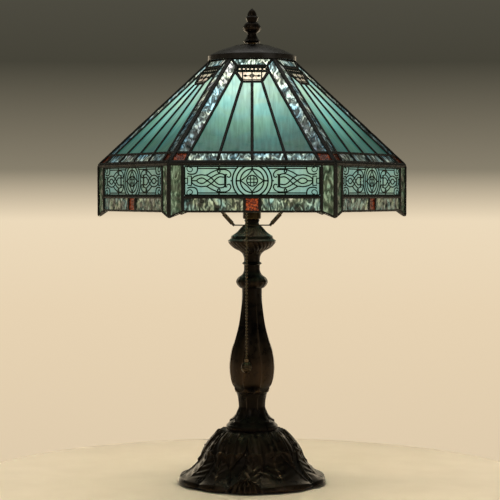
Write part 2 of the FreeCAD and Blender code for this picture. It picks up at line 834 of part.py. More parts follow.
def socket():
    """The brass shell, its cap and lining, the insulating block, and the contacts for the bulb."""
    turned(
        "neck_ring",
        [
            (dim.rod_hole, dim.cover_top_level + dim.saddle_thickness),
            (dim.neck_ring_radius, dim.cover_top_level + dim.saddle_thickness),
            (dim.neck_ring_waist, dim.cover_top_level + dim.saddle_thickness + dim.neck_ring_step),
            (dim.neck_ring_flange, dim.socket_foot_level - dim.neck_ring_lip),
            (dim.neck_ring_waist, dim.socket_foot_level),
            (dim.rod_hole, dim.socket_foot_level),
        ],
    )
    wall = dim.socket_wall
    turned(
        "socket_cap",
        [
            (dim.rod_hole, dim.socket_foot_level),
            (dim.socket_hub_radius - dim.socket_bevel, dim.socket_foot_level),
            (dim.socket_hub_radius, dim.socket_foot_level + dim.socket_bevel * 2),
            (dim.socket_hub_radius, dim.socket_hub_level),
            (dim.socket_radius, dim.socket_joint_level - dim.socket_rim_height),
            (dim.socket_radius, dim.socket_joint_level),
            (dim.socket_radius - wall, dim.socket_joint_level),
            (dim.socket_radius - wall, dim.socket_joint_level - dim.socket_rim_height + wall),
            (dim.socket_hub_radius - wall, dim.socket_hub_level + wall),
            (dim.socket_hub_radius - wall, dim.socket_foot_level + dim.socket_floor),
            (dim.rod_hole, dim.socket_foot_level + dim.socket_floor),
        ],
    )
    passage = outward_cylinder(dim.bell_outer, dim.passage_start, dim.passage_length, dim.chain_level)
    low = float(dim.socket_joint_level)
    high = float(dim.socket_top_level)
    outer = float(dim.socket_radius)
    lip_height = float(dim.socket_lip_height)
    liner_foot = low + float(dim.liner_gap)
    shell = Part.makeCylinder(outer, high - low, Vector(0, 0, low))
    lip = Part.makeCylinder(float(dim.socket_seat_radius), lip_height, Vector(0, 0, high - lip_height))
    hollow = Part.makeCylinder(outer - float(wall), high - low + 2, Vector(0, 0, low - 1))
    shaped("socket_shell", shell.fuse(lip).removeSplitter().cut(hollow).cut(passage), chain_way())
    liner_outer = float(dim.liner_outer)
    liner = Part.makeCylinder(liner_outer, high - lip_height - liner_foot, Vector(0, 0, liner_foot))
    liner_bore = Part.makeCylinder(liner_outer - float(dim.liner_wall), high - low, Vector(0, 0, low))
    shaped("socket_liner", liner.cut(liner_bore).cut(passage), chain_way())
    foot = float(dim.block_foot_level)
    block_height = float(dim.block_top_level) - foot
    block = Part.makeCylinder(float(dim.block_radius), block_height, Vector(0, 0, foot))
    width = float(dim.slot_width)
    slot_foot = float(dim.lever_pin_level - dim.slot_below_pin)
    slot_start = Vector(float(dim.slot_start), -width / 2, slot_foot)
    slot = Part.makeBox(float(dim.slot_length), width, float(dim.slot_height), slot_start)
    pin_length = width + 2 * float(dim.pin_bearing)
    block = block.cut(slot).cut(passage).cut(pin_across(dim.lever_pin_radius, pin_length))
    shaped("switch_block", block, chain_way())
    shaped("switch_pin", pin_across(dim.lever_pin_radius, pin_length), chain_way())
    ring(
        "thread_shell",
        dim.thread_shell_outer,
        dim.thread_shell_outer - dim.thread_shell_wall,
        dim.block_top_level,
        dim.thread_shell_top,
    )
    disc(
        "centre_contact",
        dim.contact_radius,
        dim.block_top_level,
        dim.block_top_level + dim.contact_height,
    )


def switch():
    """The lever that the chain works, leaning back at rest, and the spring that brings it back."""
    width = float(dim.lever_width)
    depth = float(dim.lever_depth)
    pivot = Vector(float(dim.lever_offset), 0, float(dim.lever_pin_level))
    arm = Part.makeBox(depth, width, float(dim.lever_length), pivot - Vector(depth / 2, width / 2, 0))
    hub = pin_across(dim.lever_hub_radius, width)
    lever = arm.fuse(hub).removeSplitter().cut(pin_across(dim.lever_pin_radius + dim.running_gap, width + 2))
    lever.rotate(pivot, Vector(0, 1, 0), -float(dim.lever_lean))
    shaped("switch_lever", lever.copy(), chain_way().multiply(lever.Placement))
    radius = float(dim.spring_radius)
    wire = float(dim.spring_wire)
    helix = Part.makeHelix(float(dim.spring_pitch), float(dim.spring_pitch) * SPRING_TURNS, radius)
    section = Part.Wire([Part.makeCircle(wire, Vector(radius, 0, 0), Vector(0, 1, 0))])
    coil = Part.Wire(helix.Edges).makePipeShell([section], True, True)
    beside = pivot + Vector(0, width / 2 + wire + float(dim.spring_gap), 0)
    shaped("lever_spring", coil, chain_way().multiply(Placement(beside, Rotation(Vector(1, 0, 0), -90))))


def bead_string(count):
    """Beads one below the other from the origin down, joined by short necks of wire."""
    pitch = float(dim.bead_pitch)
    beads = [Part.makeSphere(float(dim.bead_radius), Vector(0, 0, -pitch * i)) for i in range(count)]
    run = pitch * (count - 1)
    wire = Part.makeCylinder(float(dim.chain_link_radius), run, Vector(0, 0, -run))
    return wire.multiFuse(beads).removeSplitter()


def chain():
    """The guide tube, the beads inside it, the corner bead, and the hanging string with its knob."""
    level = float(dim.chain_level)
    start = float(dim.bell_inner_end)
    end = float(dim.bell_outer_end)
    mouth = float(dim.bell_mouth_length)
    outer = float(dim.bell_outer) - float(dim.running_gap)
    mouth_start = Vector(end - mouth, 0, level)
    outward = Vector(1, 0, 0)
    tube = outward_cylinder(outer, start, end - start, level)
    flare = Part.makeCone(outer, float(dim.bell_mouth), mouth, mouth_start, outward)
    bore = outward_cylinder(dim.bell_bore, start - 1, end - start + 2, level)
    inner_mouth = float(dim.bell_mouth - dim.bell_edge)
    bell = Part.makeCone(float(dim.bell_bore), inner_mouth, mouth, mouth_start, outward)
    shaped("chain_guide", tube.fuse(flare).removeSplitter().cut(bore.fuse(bell)), chain_way())
    pitch = float(dim.bead_pitch)
    reach = float(dim.chain_reach)
    radius = float(dim.bead_radius)
    lying = Placement(Vector(float(dim.feed_start), 0, level), Rotation(Vector(0, 1, 0), -90))
    shaped("chain_feed", bead_string(FEED_BEADS), chain_way().multiply(lying))
    corner_middle = Vector(reach - float(dim.corner_setback), 0, level - float(dim.corner_drop))
    corner = Part.makeSphere(radius, corner_middle)
    shaped("chain_corner", corner.copy(), chain_way().multiply(corner.Placement))
    swivel_level = float(dim.swivel_level)
    swivel = Part.makeSphere(radius, Vector(reach, 0, swivel_level))
    shaped("chain_swivel", swivel.copy(), chain_way().multiply(swivel.Placement))
    top = swivel_level - pitch
    knob_top = float(dim.knob_level + dim.knob_radius)
    count = int((top - knob_top - float(dim.chain_cup_height)) / pitch) + 1
    hanging = Placement(Vector(reach, 0, top), Rotation())
    shaped("pull_chain", bead_string(count), chain_way().multiply(hanging))
    last = top - pitch * (count - 1)
    cup_foot = knob_top - float(dim.knob_sink)
    cup_height = last - radius - cup_foot
    cup = Part.makeCylinder(float(dim.chain_cup_radius), cup_height, Vector(reach, 0, cup_foot))
    knob = Part.makeSphere(float(dim.knob_radius), Vector(reach, 0, float(dim.knob_level)))
    shaped("chain_knob", knob.copy(), chain_way().multiply(knob.Placement))
    shaped("chain_cup", cup.cut(knob), chain_way())


# ---------------------------------------------------------------- bulb


def on_bulb(radius):
    """The point where the bulb's neck meets a ball of that radius, low on the ball."""
    angle = math.radians(18)
    return radius * math.cos(angle), dim.bulb_centre_level - radius * math.sin(angle)


def bulb():
    """A screw-in bulb: contact tip, threaded cap, hollow glass and the stem inside it."""
    foot = dim.bulb_foot_level
    tip_top = foot + dim.bulb_tip_height
    disc("bulb_tip", dim.bulb_tip_radius, foot, tip_top)
    disc("bulb_cap", dim.bulb_cap_radius, tip_top, dim.bulb_cap_level)
    wall = dim.bulb_wall
    top = dim.bulb_centre_level + dim.bulb_radius
    turned(
        "bulb_glass",
        [
            (dim.bulb_neck_radius - dim.bulb_seal, dim.bulb_cap_level),
            (dim.bulb_neck_radius, dim.bulb_cap_level),
            (dim.bulb_neck_radius, dim.bulb_neck_level),
            Arc(dim.bulb_neck_arc, 1),
            on_bulb(dim.bulb_radius),
            Arc(dim.bulb_radius, -1),
            (as_size(0), top),
            (as_size(0), top - wall),
            Arc(dim.bulb_radius - wall, 1),
            on_bulb(dim.bulb_radius - wall),
            Arc(dim.bulb_neck_arc, -1),
            (dim.bulb_neck_radius - wall, dim.bulb_neck_level),
            (dim.bulb_neck_radius - wall, dim.bulb_cap_level + dim.bulb_seal),
            (dim.bulb_neck_radius - dim.bulb_seal, dim.bulb_cap_level + dim.bulb_seal),
        ],
    )
    disc("bulb_stem", dim.stem_radius, dim.bulb_cap_level, dim.bulb_cap_level + dim.stem_height)


# ---------------------------------------------------------------- shade


class Face:
    """The front face of the shade or of its skirt, seen as a flat board.

    u runs to +X from the middle and v runs down the board. Depth runs inward from the outer surface.
    """

    def __init__(self, top_middle, bottom_middle):
        self.top = top_middle
        self.down = (bottom_middle - top_middle).normalize()
        self.height = (bottom_middle - top_middle).Length
        self.inward = self.down.cross(Vector(1, 0, 0)).normalize()
        if self.inward.y < 0:
            self.inward = self.inward * -1.0

    def point(self, u, v, depth):
        return self.top + Vector(1, 0, 0) * u + self.down * v + self.inward * depth

    def prism(self, outline, depth, thickness):
        """The board's material inside an outline, from one depth inward."""
        corners = [self.point(u, v, depth) for u, v in outline]
        face = Part.Face(Part.makePolygon(corners + corners[:1]))
        return face.extrude(self.inward * thickness)


def inset(outline, margins):
    """A convex outline with each side moved inward by its own margin. Side i runs from point i to i + 1."""
    count = len(outline)
    centre_u = sum(u for u, _ in outline) / count
    centre_v = sum(v for _, v in outline) / count
    sides = []
    for i in range(count):
        (au, av), (bu, bv) = outline[i], outline[(i + 1) % count]
        length = math.hypot(bu - au, bv - av)
        normal = (-(bv - av) / length, (bu - au) / length)
        inward = (centre_u - au) * normal[0] + (centre_v - av) * normal[1]
        if inward < 0:
            normal = (-normal[0], -normal[1])
        offset = normal[0] * au + normal[1] * av + margins[i]
        sides.append((normal, offset))
    moved = []
    for i in range(count):
        (an, ao), (bn, bo) = sides[i - 1], sides[i]
        cross = an[0] * bn[1] - an[1] * bn[0]
        moved.append(((ao * bn[1] - bo * an[1]) / cross, (an[0] * bo - bn[0] * ao) / cross))
    return moved


def mirrored(outline):
    """The outline on the other side of the face's middle line."""
    return [(-u, v) for u, v in reversed(outline)]


def all_round(shapes):
    """Copies the front face's solids round all six faces."""
    copies = []
    for k in range(FACES):
        turn = Placement(Vector(0, 0, 0), Rotation(Vector(0, 0, 1), HEX_TURN * k))
        for shape in shapes:
            copy = shape.copy()
            copy.Placement = turn.multiply(copy.Placement)
            copies.append(copy)
    return Part.makeCompound(copies)


APOTHEM = math.cos(math.radians(30))
HALF_SIDE = math.tan(math.radians(30))


def hexahedron(low, high):
    """A solid between two four-cornered rings of points, both listed the same way round."""
    faces = [Part.Face(Part.makePolygon(low + low[:1])), Part.Face(Part.makePolygon(high + high[:1]))]
    for i in range(4):
        j = (i + 1) % 4
        ring_points = [low[i], low[j], high[j], high[i], low[i]]
        faces.append(Part.Face(Part.makePolygon(ring_points)))
    solid = Part.makeSolid(Part.makeShell(faces))
    return solid if solid.Volume > 0 else solid.reversed()


def mitred_board(top_apothem, top_level, bottom_apothem, bottom_level, thickness):
    """A board of one face whose ends lie in the planes through the lamp's axis, so neighbours meet."""
    slope = math.hypot(bottom_apothem - top_apothem, top_level - bottom_level)
    level_thickness = thickness * slope / (top_level - bottom_level)

    def row(apothem, level):
        inner = apothem - level_thickness
        return [
            Vector(-apothem * HALF_SIDE, -apothem, level),
            Vector(apothem * HALF_SIDE, -apothem, level),
            Vector(inner * HALF_SIDE, -inner, level),
            Vector(-inner * HALF_SIDE, -inner, level),
        ]

    return hexahedron(row(top_apothem, top_level), row(bottom_apothem, bottom_level))


def sloping_panes():
    """The outlines of the sloping face's glass, by colour, on the lead's centrelines and inset for it."""
    height = float(upper.height)
    lead = float(dim.came_width) / 2
    hip = float(dim.hip_width) / 2
    top_half = float(dim.shade_top_corner) / 2
    foot_half = float(dim.shade_corner) / 2
    row = height * float(dim.row_share)
    jewel_top = height * float(dim.jewel_top_share)
    jewel_wide = height * float(dim.jewel_wide_share)
    jewel_foot = height * float(dim.jewel_foot_share)
    a = float(dim.jewel_top_half)
    b = float(dim.jewel_wide_half)
    c = float(dim.jewel_foot_half)
    strip = float(dim.strip_foot_half)
    mullion = float(dim.mullion_foot_half)
    hip_at_row = top_half + (foot_half - top_half) * float(dim.row_share)
    strip_end = strip + (strip - b) / (row - jewel_wide) * (height - row)
    mullion_end = mullion + (mullion - c) / (row - jewel_foot) * (height - row)
    sill = float(dim.sill_width)
    strip_pane = [(top_half, 0), (hip_at_row, row), (strip, row), (b, jewel_wide), (a, jewel_top)]
    outer_pane = [(b, jewel_wide), (c, jewel_foot), (mullion, row), (strip, row)]
    inner_pane = [(0, jewel_foot), (c, jewel_foot), (mullion, row), (0, row)]
    top_pane = [(-top_half, 0), (top_half, 0), (a, jewel_top), (-a, jewel_top)]
    right_half = [(a, jewel_top), (b, jewel_wide), (c, jewel_foot)]
    left_half = [(-c, jewel_foot), (-b, jewel_wide), (-a, jewel_top)]
    jewel = right_half + left_half
    red_pane = [(strip, row), (hip_at_row, row), (foot_half, height), (strip_end, height)]
    outer_row = [(mullion, row), (strip, row), (strip_end, height), (mullion_end, height)]
    inner_row = [(0, row), (mullion, row), (mullion_end, height), (0, height)]
    return {
        "hip_strip_glass": both(inset(strip_pane, [hip, lead, lead, lead, lead])),
        "fan_glass": both(inset(outer_pane, [lead] * 4)) + both(inset(inner_pane, [lead] * 4)),
        "top_light_glass": [inset(top_pane, [2.0, lead, lead, lead])],
        "jewel_glass": [inset(jewel, [lead] * 6)],
        "corner_red_glass": both(inset(red_pane, [lead, hip, sill, lead])),
        "row_clear_glass": both(inset(outer_row, [lead, lead, sill, lead]))
        + both(inset(inner_row, [lead, lead, sill, lead])),
    }


def skirt_panes():
    """The outlines of the skirt face's glass, with v measured down from the skirt's top edge."""
    lead = float(dim.came_width) / 2
    hip = float(dim.hip_width) / 2
    half = float(dim.shade_corner) / 2
    post = half - float(dim.post_width)
    height = float(dim.skirt_top_level - dim.skirt_bottom_level)
    tip = float(dim.skirt_top_level - dim.skirt_tip_level)
    band = float(dim.band_depth)
    rail = float(dim.rail_width)
    red = float(dim.red_half)
    edge = float(dim.filigree_edge)
    band_pane = [(-post, 0), (post, 0), (post, band), (-post, band)]
    post_pane = [(post, 0), (half, 0), (half, tip), (post, height)]
    red_pane = [(-red, band), (red, band), (red, height), (-red, height)]
    hem_pane = [(red, band), (post, band), (post, height), (red, height)]
    return {
        "band_glass": [inset(band_pane, [rail, lead, lead, lead])],
        "post_glass": both(inset(post_pane, [rail, hip, edge, lead])),
        "hem_red_glass": [inset(red_pane, [lead, lead, edge, lead])],
        "hem_clear_glass": both(inset(hem_pane, [lead, lead, edge, lead])),
    }


def both(outline):
    """An outline and its mirror image."""
    return [outline, mirrored(outline)]


def came_and_glass(label, face, board, panes):
    """Cuts every pane out of a board of lead and glazes the openings, on all six faces."""
    depth = float(dim.glass_setback)
    thickness = float(dim.glass_thickness)
    openings = [face.prism(o, -1.0, 6.0 + thickness) for group in panes.values() for o in group]
    lattice = board.cut(openings)
    shaped(label, all_round([lattice]))
    for name, outlines in panes.items():
        shaped(name, all_round([face.prism(o, depth, thickness) for o in outlines]))


def jewel_filigree(outline):
    """The pierced sheet over the jewel: a rim, a beaded bar across it and a small lattice below."""
    depth = float(dim.glass_setback) - float(dim.filigree_gap) - float(dim.filigree_thickness)
    thick = float(dim.filigree_thickness)
    line = float(dim.filigree_line)
    edge = inset(outline, [float(dim.filigree_play)] * 6)
    middle = upper.prism(inset(edge, [line] * 6), depth - 1, thick + 2)
    rim = upper.prism(edge, depth, thick).cut(middle)
    top = min(v for _, v in edge)
    foot = max(v for _, v in edge)
    bar_v = top + (foot - top) * JEWEL_BAR_SHARE
    wide = max(u for u, _ in edge) - line / 2
    bar = upper.prism([(-wide, bar_v), (wide, bar_v), (wide, bar_v + line), (-wide, bar_v + line)], depth, thick)
    pieces = [bar]
    for u in JEWEL_UPRIGHTS:
        left = u - line / 2
        right = u + line / 2
        pieces.append(upper.prism([(left, top), (right, top), (right, foot), (left, foot)], depth, thick))
    inside = upper.prism(edge, depth - 1, thick + 2)
    return rim.fuse([p.common(inside) for p in pieces]).removeSplitter()


def band_filigree():
    """The pierced sheet over the band: a frame, rings in the middle and two on each side."""
    depth = float(dim.glass_setback) - float(dim.filigree_gap) - float(dim.filigree_thickness)
    thick = float(dim.filigree_thickness)
    line = float(dim.filigree_line)
    outline = skirt_panes()["band_glass"][0]
    edge = inset(outline, [float(dim.filigree_play)] * 4)
    rim = skirt.prism(edge, depth, thick).cut(skirt.prism(inset(edge, [line] * 4), depth - 1, thick + 2))
    top = min(v for _, v in edge)
    foot = max(v for _, v in edge)
    wide = max(u for u, _ in edge)
    middle = (top + foot) / 2

    def hoop(u, radius):
        place = skirt.point(u, middle, depth)
        outer = Part.makeCylinder(radius, thick, place, skirt.inward)
        inner = Part.makeCylinder(radius - line, thick + 2, place - skirt.inward, skirt.inward)
        return outer.cut(inner)

    half_height = (foot - top) / 2
    hoops = [hoop(0, half_height * share) for share in BAND_MIDDLE_HOOPS]
    for side in (-1, 1):
        for place, share in BAND_SIDE_HOOPS:
            hoops.append(hoop(side * wide * place, half_height * share))
    bars = []
    for share in BAND_BARS:
        v = middle + half_height * share
        bars.append(skirt.prism([(-wide, v), (wide, v), (wide, v + line), (-wide, v + line)], depth, thick))
    inside = skirt.prism(edge, depth - 1, thick + 2)
    return rim.fuse([p.common(inside) for p in hoops + bars]).removeSplitter()


def shade():
    """The leaded shade: sloping faces, skirt, filigree sheets and the brass ring round the top."""
    board = mitred_board(
        float(dim.shade_top_corner) * APOTHEM,
        float(dim.shade_top_level),
        float(dim.shade_corner) * APOTHEM,
        float(dim.skirt_top_level),
        float(dim.came_thickness),
    )
    panes = sloping_panes()
    came_and_glass("upper_came", upper, board, panes)
    shaped("jewel_filigree", all_round([jewel_filigree(panes["jewel_glass"][0])]))
    apothem = float(dim.shade_corner) * APOTHEM
    tip = float(dim.skirt_tip_level)
    flat = mitred_board(apothem, float(dim.skirt_top_level), apothem, tip, float(dim.came_thickness))
    half = float(dim.shade_corner) / 2
    post = half - float(dim.post_width)
    height = float(dim.skirt_top_level - dim.skirt_bottom_level)
    drop = float(dim.skirt_top_level - dim.skirt_tip_level)
    low = drop + float(dim.came_thickness)
    scallop = [(-half, drop), (-post, height), (post, height), (half, drop), (half, low), (-half, low)]
    below = skirt.prism(scallop, -1.0, float(dim.post_width))
    came_and_glass("skirt_came", skirt, flat.cut(below), skirt_panes())
    shaped("band_filigree", all_round([band_filigree()]))
    hexagon_ring()


def hexagon(apothem, low, high):
    """A hexagonal prism on the lamp's axis with a flat side to the front."""
    corner = apothem / APOTHEM
    corners = []
    for k in range(FACES + 1):
        angle = math.radians(HEX_TURN * k)
        corners.append(Vector(corner * math.cos(angle), corner * math.sin(angle), low))
    return Part.Face(Part.makePolygon(corners)).extrude(Vector(0, 0, high - low))


def hexagon_ring():
    """The flat brass ring soldered to the top edge of the shade."""
    low = float(dim.shade_top_level)
    high = low + float(dim.ring_height)
    outer = hexagon(float(dim.shade_top_corner) * APOTHEM, low, high)
    inner = hexagon(float(dim.ring_inner_apothem), low - 1, high + 1)
    shaped("shade_ring", outer.cut(inner))


def shade_wheel():
    """The spoked wheel on the harp's boss that carries the shade by its ring."""
    low = float(dim.shade_top_level - dim.wheel_height)
    thick = float(dim.wheel_height)
    outer = float(dim.wheel_outer)
    rim = Part.makeCylinder(outer, thick, Vector(0, 0, low))
    rim = rim.cut(Part.makeCylinder(outer - float(dim.wheel_rim), thick + 2, Vector(0, 0, low - 1)))
    hub = Part.makeCylinder(float(dim.wheel_hub), thick, Vector(0, 0, low))
    width = float(dim.wheel_arm_width)
    arms = []
    for k in range(3):
        arm = Part.makeBox(2 * (outer - 1), width, thick, Vector(1 - outer, -width / 2, low))
        arms.append(arm.rotate(Vector(0, 0, 0), Vector(0, 0, 1), HEX_TURN * k + 30))
    wheel = hub.fuse([rim] + arms).removeSplitter()
    hole = Part.makeCylinder(float(dim.stud_bore), thick + 2, Vector(0, 0, low - 1))
    shaped("shade_wheel", wheel.cut(hole))


def cap_and_finial():
    """The vented cap over the shade's opening, and the washer and finial that hold it down."""
    wall = dim.cap_wall
    cap = turned(
        "heat_cap",
        [
            (dim.cap_radius - wall, dim.cap_foot_level),
            (dim.cap_radius, dim.cap_foot_level),
            (dim.cap_radius, dim.cap_shoulder_level - dim.cap_edge_drop),
            Arc(dim.cap_edge_arc, -1),
            (dim.cap_radius - dim.cap_edge_inset, dim.cap_shoulder_level),
            Arc(dim.cap_slope_arc, -1),
            (dim.cap_step_radius, dim.cap_step_level),
            (dim.cap_crown_foot, dim.cap_step_level + dim.cap_step_rise),
            Arc(dim.cap_crown_arc, -1),
            (dim.cap_crown_radius, dim.cap_top_level),
            (dim.stud_bore, dim.cap_top_level),
            (dim.stud_bore, dim.cap_top_level - wall),
            (dim.cap_crown_radius, dim.cap_top_level - wall),
            Arc(dim.cap_crown_arc, 1),
            (dim.cap_crown_foot, dim.cap_step_level + dim.cap_step_rise - wall),
            (dim.cap_step_radius, dim.cap_step_level - wall),
            Arc(dim.cap_slope_arc, 1),
            (dim.cap_radius - dim.cap_edge_inset - dim.cap_rounding, dim.cap_shoulder_level - wall),
            (dim.cap_radius - wall, dim.cap_shoulder_level - dim.cap_edge_drop - dim.cap_inner_drop),
        ],
    )
    sketch = sketch_in(cap, "XY_Plane", "vent_circle")
    inside_vent = Vector(float(dim.cap_vent_circle), 0, 0)
    circle = sketch.addGeometry(Part.Circle(inside_vent, Vector(0, 0, 1), float(dim.cap_vent_radius)), False)
    tie(sketch, Sketcher.Constraint("Radius", circle, float(dim.cap_vent_radius)), dim.cap_vent_radius)
    tie_point(sketch, circle, 3, dim.cap_vent_circle, as_size(0))
    vent = cap.newObject("PartDesign::Pocket", "vent_hole")
    vent.Profile = sketch
    vent.Type = "ThroughAll"
    doc.recompute()
    column = Part.makeLine(inside_vent, inside_vent + Vector(0, 0, float(dim.finial_tip_level)))
    if column.common(cap.Shape).Length > 0.01:
        vent.Reversed = True
        doc.recompute()
    if column.common(cap.Shape).Length > 0.01:
        raise RuntimeError("the vent hole cut nothing")
    pattern = cap.newObject("PartDesign::PolarPattern", "vent_ring")
    pattern.Originals = [vent]
    axis = next(f for f in cap.Origin.OriginFeatures if f.Role == "Z_Axis")
    pattern.Axis = (axis, [""])
    pattern.Angle = 360.0
    pattern.Occurrences = CAP_VENTS
    cap.Tip = pattern
    doc.recompute()
    ring(
        "finial_washer",
        dim.washer_radius,
        dim.stud_bore,
        dim.cap_top_level,
        dim.cap_top_level + dim.washer_height,
    )
    foot = dim.cap_top_level + dim.washer_height
    turned(
        "finial",
        [
            (dim.stud_bore, foot),
            (dim.finial_foot_radius - dim.finial_foot_bevel, foot),
            (dim.finial_foot_radius, foot + dim.finial_foot_height),
            Arc(dim.finial_foot_arc, 1),
            (dim.finial_waist_radius, dim.finial_waist_level),
            Arc(dim.finial_bulb_lower_arc, -1),
            (dim.finial_bulb_radius, dim.finial_bulb_level),
            Arc(dim.finial_bulb_upper_arc, -1),
            (dim.finial_neck_radius, dim.finial_neck_level),
            (dim.finial_collar_radius, dim.finial_collar_level),
            (dim.finial_spear_radius, dim.finial_spear_level),
            Arc(dim.finial_spear_arc, -1),
            (dim.finial_tip_radius, dim.finial_tip_level),
            (as_size(0), dim.finial_tip_level),
            (as_size(0), foot + dim.finial_bore_depth),
            (dim.stud_bore, foot + dim.finial_bore_depth),
        ],
    )


def make_faces():
    """The front faces of the sloping part and of the skirt."""
    top = float(dim.shade_top_corner) * APOTHEM
    wide = float(dim.shade_corner) * APOTHEM
    sloping = Face(
        Vector(0, -top, float(dim.shade_top_level)), Vector(0, -wide, float(dim.skirt_top_level))
    )
    upright = Face(
        Vector(0, -wide, float(dim.skirt_top_level)), Vector(0, -wide, float(dim.skirt_bottom_level))
    )
    return sloping, upright


def check_and_write():
    """Stops on any object that failed or any bad shape, then writes one file for each sub-part."""
    doc.recompute()
    for thing in doc.Objects:
        if "Invalid" in thing.State or "Error" in thing.State:
            raise RuntimeError(f"{thing.Name} failed: {thing.State}")
    os.makedirs(OUT, exist_ok=True)
    for old in os.listdir(OUT):
        os.remove(os.path.join(OUT, old))
    for label, feature in nodes:
        shape = feature.Shape
        if shape.isNull() or not shape.isValid() or not shape.Solids:
            raise RuntimeError(f"{label} has no valid solid")
        if min(solid.Volume for solid in shape.Solids) <= 0:
            raise RuntimeError(f"{label} has a solid with no volume")
        shape.exportStep(os.path.join(OUT, f"{label}.step"))
        print(f"{label}: {len(shape.Solids)} solids, {shape.Volume / 1000:.1f} cm3")


upper, skirt = make_faces()
base_casting()
inlet_bushing()
under_base()
stand()
harp_saddle()
harp_frame()
harp_sleeve(-1, "harp_sleeve_left")
harp_sleeve(1, "harp_sleeve_right")
socket()
switch()
chain()
bulb()
shade()
shade_wheel()
cap_and_finial()
check_and_write()
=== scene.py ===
"""The looks of a leaded glass table lamp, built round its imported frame.

Metres, with +Z up and the front facing -Y. Sizes that the frame holds are read from it. The shade's
panes, leads and pierced sheets are drawn on flat boards, one for a sloping face and one for a skirt
face, and turned round the lamp's axis. The stand's castings are turned from the frame's own outlines,
with their carving raised on them.
"""

import logging
import math
from dataclasses import dataclass
from enum import Enum
from typing import Callable, Sequence

import bmesh
import bpy
import numpy as np
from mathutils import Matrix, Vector, noise


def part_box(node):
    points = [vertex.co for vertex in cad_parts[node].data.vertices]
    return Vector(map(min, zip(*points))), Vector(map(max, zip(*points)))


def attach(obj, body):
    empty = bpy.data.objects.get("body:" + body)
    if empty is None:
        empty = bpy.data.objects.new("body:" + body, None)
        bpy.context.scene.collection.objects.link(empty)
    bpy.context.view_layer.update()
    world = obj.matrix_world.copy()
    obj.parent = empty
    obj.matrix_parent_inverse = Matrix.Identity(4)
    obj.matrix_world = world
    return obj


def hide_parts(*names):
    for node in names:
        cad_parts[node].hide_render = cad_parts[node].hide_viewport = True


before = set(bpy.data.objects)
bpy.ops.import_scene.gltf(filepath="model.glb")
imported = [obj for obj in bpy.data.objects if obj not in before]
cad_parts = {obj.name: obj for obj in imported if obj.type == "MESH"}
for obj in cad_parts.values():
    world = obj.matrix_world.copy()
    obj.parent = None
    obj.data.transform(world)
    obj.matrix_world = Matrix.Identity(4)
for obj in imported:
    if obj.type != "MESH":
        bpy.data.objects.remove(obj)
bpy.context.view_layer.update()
LOG = logging.getLogger("lamp")

MM = 0.001
FACES = 6
FACE_TURN = 2 * math.pi / FACES
APOTHEM = math.cos(math.pi / FACES)
MIX_SHARE, MIX_FIRST, MIX_SECOND, MIX_RESULT = 0, 6, 7, 2

Colour = tuple[float, float, float]
Flat = tuple[float, float]
Stop = tuple[float, Colour]
Relief = Callable[[np.ndarray, np.ndarray, np.ndarray], np.ndarray]


class Body(Enum):
    """The moving bodies that new pieces ride on."""

    STAND = "stand"
    SHADE = "shade"
    FINIAL = "finial"
    BULB = "bulb"
    CHAIN = "hanging_chain"


class Side(Enum):
    """The two sides of a face of the shade."""

    OUTSIDE = 1
    INSIDE = -1


# ------------------------------------------------------------------ finishes


def set_stops(ramp: bpy.types.ColorRamp, stops: Sequence[Stop]) -> None:
    """Gives a colour ramp its stops.

    Args:
        ramp: the ramp, as new.
        stops: the number and colour of each stop, in order.
    """
    while len(ramp.elements) < len(stops):
        ramp.elements.new(1.0)
    for element, (at, colour) in zip(ramp.elements, stops):
        element.position = at
        element.color = (*colour, 1.0)


